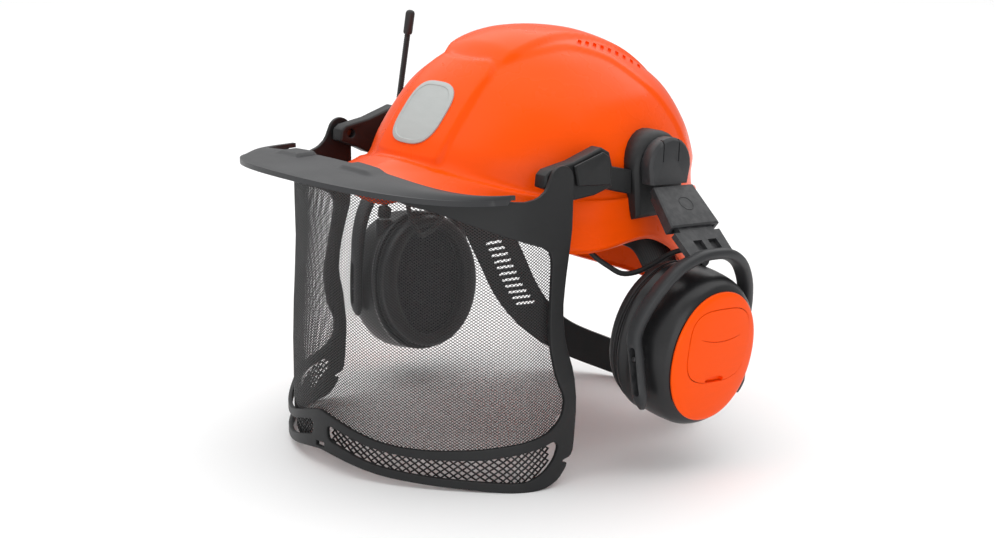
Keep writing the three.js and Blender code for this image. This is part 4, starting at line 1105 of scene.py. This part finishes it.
LID = {"a": 27, "b": 25, "z": 12, "gap": 0.45, "notch_z": -11.6}


def lid_slab(name, grow, x0, x1, matrix):
    outline = oval(LID["a"] + grow, LID["b"] + grow, 96, 3.2) + (0, LID["z"])
    return slab(name, outline, x0, x1, matrix)


def dome(name, side, lift=0.0):
    sections = [(COVER["x0"] + x + lift * (i > 1), COVER["a"] + a, COVER["b"] + b)
                for i, (x, a, b) in enumerate(finer(DOME))]
    sections.append((sections[-1][0] + 0.35, 6, 8))
    return skin(name, placed(oval_rings(sections), cup_matrix(side), side), smooth=50)


def add_cup_covers():
    matrix = cup_matrix("left")
    x0 = COVER["x0"]
    cover = dome("cover_shell_left", "left")
    boolean(cover, lid_slab("lid_hole", LID["gap"], x0 - 1, x0 + 9, matrix))
    clean_edges(cover, COVER["edge"])
    finish_piece(cover, "cup_left", "cover", "cup_cover_left")
    lid = dome("lid_shell", "left", lift=0.25)
    boolean(lid, lid_slab("lid_limit", 0, x0 + 0.5, x0 + 9, matrix), "INTERSECT")
    notch = oval(8.5, 2.6, 32) + (0, LID["notch_z"])
    boolean(lid, slab("notch", notch, x0 + 3, x0 + 9, matrix))
    sweep_t = np.linspace(-1, 1, 41)
    arc = np.array([(x0 + 5.2 - 1.9 * abs(a) ** 3, 24.6 * a, 15 + 5.5 * a * a) for a in sweep_t])
    crease = sweep(arc, 0.7, 1.6, (0, 0, 1), sides=8, power=2)
    boolean(lid, skin("crease", placed(crease, matrix)))
    clean_edges(lid, COVER["edge"])
    finish_piece(lid, "lid", "cover", "battery_lid")
    cover = dome("cover_shell_right", "right")
    radius = KNOB["radius"] + 0.6
    for y in (-KNOB["y"], KNOB["y"]):
        well = lathe([(x0 + 1.5, radius), (x0 + 9, radius)], 48, "x", (0, y, KNOB["z"]))
        boolean(cover, skin("well", placed(well, cup_matrix("right"), "right")))
    clean_edges(cover, COVER["edge"])
    finish_piece(cover, "cup_right", "cover", "cup_cover_right")


def add_knobs():
    matrix = cup_matrix("right")
    for body, node, y in (("volume", "volume_knob", KNOB["y"]), ("tuning", "tuning_knob", -KNOB["y"])):
        t = circle(96)
        rings = []
        for x, r, ridge in KNOB_PROFILE:
            radius = r - ridge * (0.5 + 0.5 * np.cos(24 * t))
            rings.append(np.column_stack([COVER["x0"] + x + 0 * t, y + radius * np.cos(t),
                                          KNOB["z"] + radius * np.sin(t)]))
        knob = skin(f"{body}_dial", placed(np.array(rings), matrix, "right"), smooth=50)
        finish_piece(knob, body, "dark_plastic", node)


# section of the cushion: distance along the cup's axis, and share of the way from the hole to the rim
CUSHION = [(-17.3, 0.03), (-17.3, 0.5), (-17.3, 0.94), (-18.6, 1.0), (-20.5, 1.03), (-23.5, 1.0),
           (-25.8, 0.86), (-27.0, 0.66), (-27.0, 0.44), (-26.0, 0.2), (-24, 0.06), (-20.5, 0.0)]
WELT = 0.55  # radius of the cushion's seams


def cushion_rings(count=112):
    section = catmull([(x, k, 0) for x, k in CUSHION + CUSHION[:1]], 33)[:-1, :2]
    t = circle(count)
    x, k = section[:, 0][None, :], section[:, 1][None, :]
    y = lerp(31.5, 44.6, k) * np.cos(t)[:, None]
    z = lerp(41, 49.6, k) * np.sin(t)[:, None] + CUP_Z
    return np.stack([x + 0 * y, y, z], -1)


def inflate(obj, pinned, cap, pressure=3.0, frames=14):
    """Short cloth simulation with air inside; no point moves further than the cap."""
    before = np.array([v.co[:] for v in obj.data.vertices])
    group = obj.vertex_groups.new(name="held")
    group.add([int(i) for i in np.flatnonzero(pinned)], 1.0, "REPLACE")
    cloth = obj.modifiers.new("cloth", "CLOTH")
    cloth.settings.vertex_group_mass = "held"
    cloth.settings.use_pressure = True
    cloth.settings.uniform_pressure_force = pressure
    cloth.settings.effector_weights.gravity = 0
    cloth.settings.quality = 5
    cloth.collision_settings.use_collision = False
    cloth.point_cache.frame_end = frames
    scene = bpy.context.scene
    for index in range(1, frames + 1):
        scene.frame_set(index)
    evaluated = obj.evaluated_get(bpy.context.evaluated_depsgraph_get())
    after = np.array([v.co[:] for v in evaluated.data.vertices])
    obj.modifiers.clear()
    obj.vertex_groups.clear()
    scene.frame_set(1)
    move = after - before
    size = np.linalg.norm(move, axis=1, keepdims=True)
    move *= np.minimum(1, cap * MM / np.maximum(size, 1e-9))
    obj.data.vertices.foreach_set("co", (before + move).ravel())
    obj.data.update()


def add_cushion(side):
    rings = cushion_rings()
    local_x = rings[..., 0].ravel()
    pad = skin(f"cushion_pad_{side}", placed(rings, cup_matrix(side), side), loop=True, smooth=80)
    inflate(pad, local_x > -17.6, 1.3)
    pad.data.shade_smooth()
    subdivide = pad.modifiers.new("subdivision", "SUBSURF")
    subdivide.levels = 1
    subdivide.render_levels = 1
    apply_modifiers(pad)
    finish_piece(pad, f"cup_{side}", "cushion", f"cushion_{side}")
    across = np.array([1, 0, 0])
    for name, x, a, b in (("rim_seam", -18.6, 46.0, 51.0), ("hole_seam", -25.6, 33.2, 42.4)):
        seam = []
        for angle in circle(120):
            centre = np.array([x, a * math.cos(angle), b * math.sin(angle) + CUP_Z])
            out = np.array([0, math.cos(angle), math.sin(angle)])
            seam.append([centre + WELT * (math.cos(q) * out + math.sin(q) * across) for q in circle(8)])
        welt = skin(f"{name}_{side}", placed(np.array(seam), cup_matrix(side), side), loop=True)
        finish_piece(welt, f"cup_{side}", "cushion")


def add_foam(side):
    """Foam lining, a soft pillow that shows through the cushion's hole."""
    sections = [(-6, 38, 45.5), (-9, 38.5, 46), (-11.3, 37, 44.5), (-12.6, 31, 38), (-13.2, 20, 26),
                (-13.4, 6, 8)]
    foam = skin(f"foam_pad_{side}", placed(oval_rings(finer(sections)), cup_matrix(side), side), smooth=60)
    finish_piece(foam, f"cup_{side}", "foam", f"liner_foam_{side}")


def tube_curve(name, points, diameter):
    data = bpy.data.curves.new(name, "CURVE")
    data.dimensions = "3D"
    data.bevel_depth = diameter / 2 * MM
    data.bevel_resolution = 4
    data.use_fill_caps = True
    spline = data.splines.new("POLY")
    spline.points.add(len(points) - 1)
    for point, co in zip(spline.points, to_row(points)):
        point.co = (*co, 1)
    obj = bpy.data.objects.new(name, data)
    bpy.context.scene.collection.objects.link(obj)
    return obj


def add_cables():
    for side in SIDES:
        lifted = []
        for x, y, z in CABLE_RISE:
            lifted.append((x, y, z + DROP[side] * float(ease(40, 75, z)) * float(ease(-20, -50, y))))
        route = placed(catmull(lifted, 40), cup_matrix(side), side)
        lead = tube_curve(f"ear_lead_{side}", route, CABLE_DIAMETER)
        finish_piece(lead, f"cup_{side}", "rubber", f"cable_{side}")
    route = catmull(mirror_route(CABLE_CROSSING), 80)
    crossing = tube_curve("crown_lead", route, CABLE_DIAMETER)
    finish_piece(crossing, "helmet", "rubber", "cable_crossing")


def add_antenna():
    """Ribbed flexible rod with a smooth cap, leaning back in over the helmet."""
    lean = Matrix.Rotation(math.radians(AERIAL["lean"]), 4, "Y")
    matrix = cup_matrix("right") @ Matrix.Translation((-AERIAL["x"], AERIAL["y"], AERIAL["z"])) @ lean
    base = lathe([(1.5, 4.4), (2.2, 5), (8.4, 5), (9.6, 4.0), (10, 2.6)], 20, "z", (0, 0, 0))
    foot = skin("antenna_foot", placed(base, matrix), smooth=50)
    finish_piece(foot, "cup_right", "black_plastic", "antenna_base")
    heights = np.arange(10.3, AERIAL["length"] - 18, 0.75)
    profile = [(z, 2.15 + 0.22 * (-1) ** i) for i, z in enumerate(heights)]
    top = AERIAL["length"]
    profile += [(top - 18, 2.1), (top - 17.8, 2.9), (top - 16.5, 3.4), (top - 2.2, 3.4), (top - 0.7, 2.7),
                (top, 1.3)]
    whip = skin("antenna_rod", placed(lathe(profile, 20, "z", (0, 0, 0)), matrix), smooth=50)
    finish_piece(whip, "cup_right", "rubber", "antenna")


# ---------- CAD nodes that stay ----------
EDGE = {"front_badge": 0.3, "radio_board": 0.1, "headband": 0.5}


def dress_cad_nodes():
    """Materials from the record, and rounded edges, on the CAD nodes that nothing replaces."""
    slots = {part["node"]: part["material_slot"] for part in frame["record"]["subparts"]}
    for name, obj in NODES.items():
        obj.data.materials.clear()
        obj.data.materials.append(MATERIALS[slots[name]])
        if obj.hide_render:
            continue
        weld = obj.modifiers.new("weld", "WELD")
        weld.merge_threshold = 0.01 * MM
        bevel(obj, EDGE.get(name, 0.6), 2, 32)
        obj.data.shade_smooth()


# ---------- stage ----------
def add_light(name, location, size, power, target=(0, 0, 120)):
    data = bpy.data.lights.new(name, "AREA")
    data.shape = "SQUARE"
    data.size = size
    data.energy = power
    lamp = bpy.data.objects.new(name, data)
    bpy.context.scene.collection.objects.link(lamp)
    lamp.location = to_row(location)
    toward = Vector(to_row(target)) - lamp.location
    lamp.rotation_euler = toward.to_track_quat("-Z", "Y").to_euler()


def add_stage():
    mesh = bpy.data.meshes.new("floor")
    reach = 6.0
    corners = [(-reach, -reach, 0), (reach, -reach, 0), (reach, reach, 0), (-reach, reach, 0)]
    mesh.from_pydata(corners, [], [[0, 1, 2, 3]])
    floor = bpy.data.objects.new("floor", mesh)
    bpy.context.scene.collection.objects.link(floor)
    mesh.materials.append(shader("floor_paper", (0.94, 0.94, 0.94), 0.6, specular=0.2)[0])
    world = bpy.data.worlds.new("studio")
    world.use_nodes = True
    world.node_tree.nodes["Background"].inputs["Color"].default_value = (1, 1, 1, 1)
    world.node_tree.nodes["Background"].inputs["Strength"].default_value = 0.45
    bpy.context.scene.world = world
    bpy.context.scene.view_settings.view_transform = "Standard"
    add_light("overhead", (-600, 500, 2600), 5.5, 133)
    add_light("key", (-300, -1500, 1000), 1.8, 5)
    add_light("fill", (1300, -1100, 500), 1.5, 11)


add_camera()
add_cables()
add_shell()
add_visor_frame()
add_visor_meshes()
add_peak()
add_nape_band()
add_crown_straps()
add_sweatband()
for side in SIDES:
    add_yoke(side)
    add_arm_ring(side)
    add_cup_shell(side)
    add_cushion(side)
    add_foam(side)
add_cup_covers()
add_knobs()
add_antenna()
dress_cad_nodes()
add_stage()
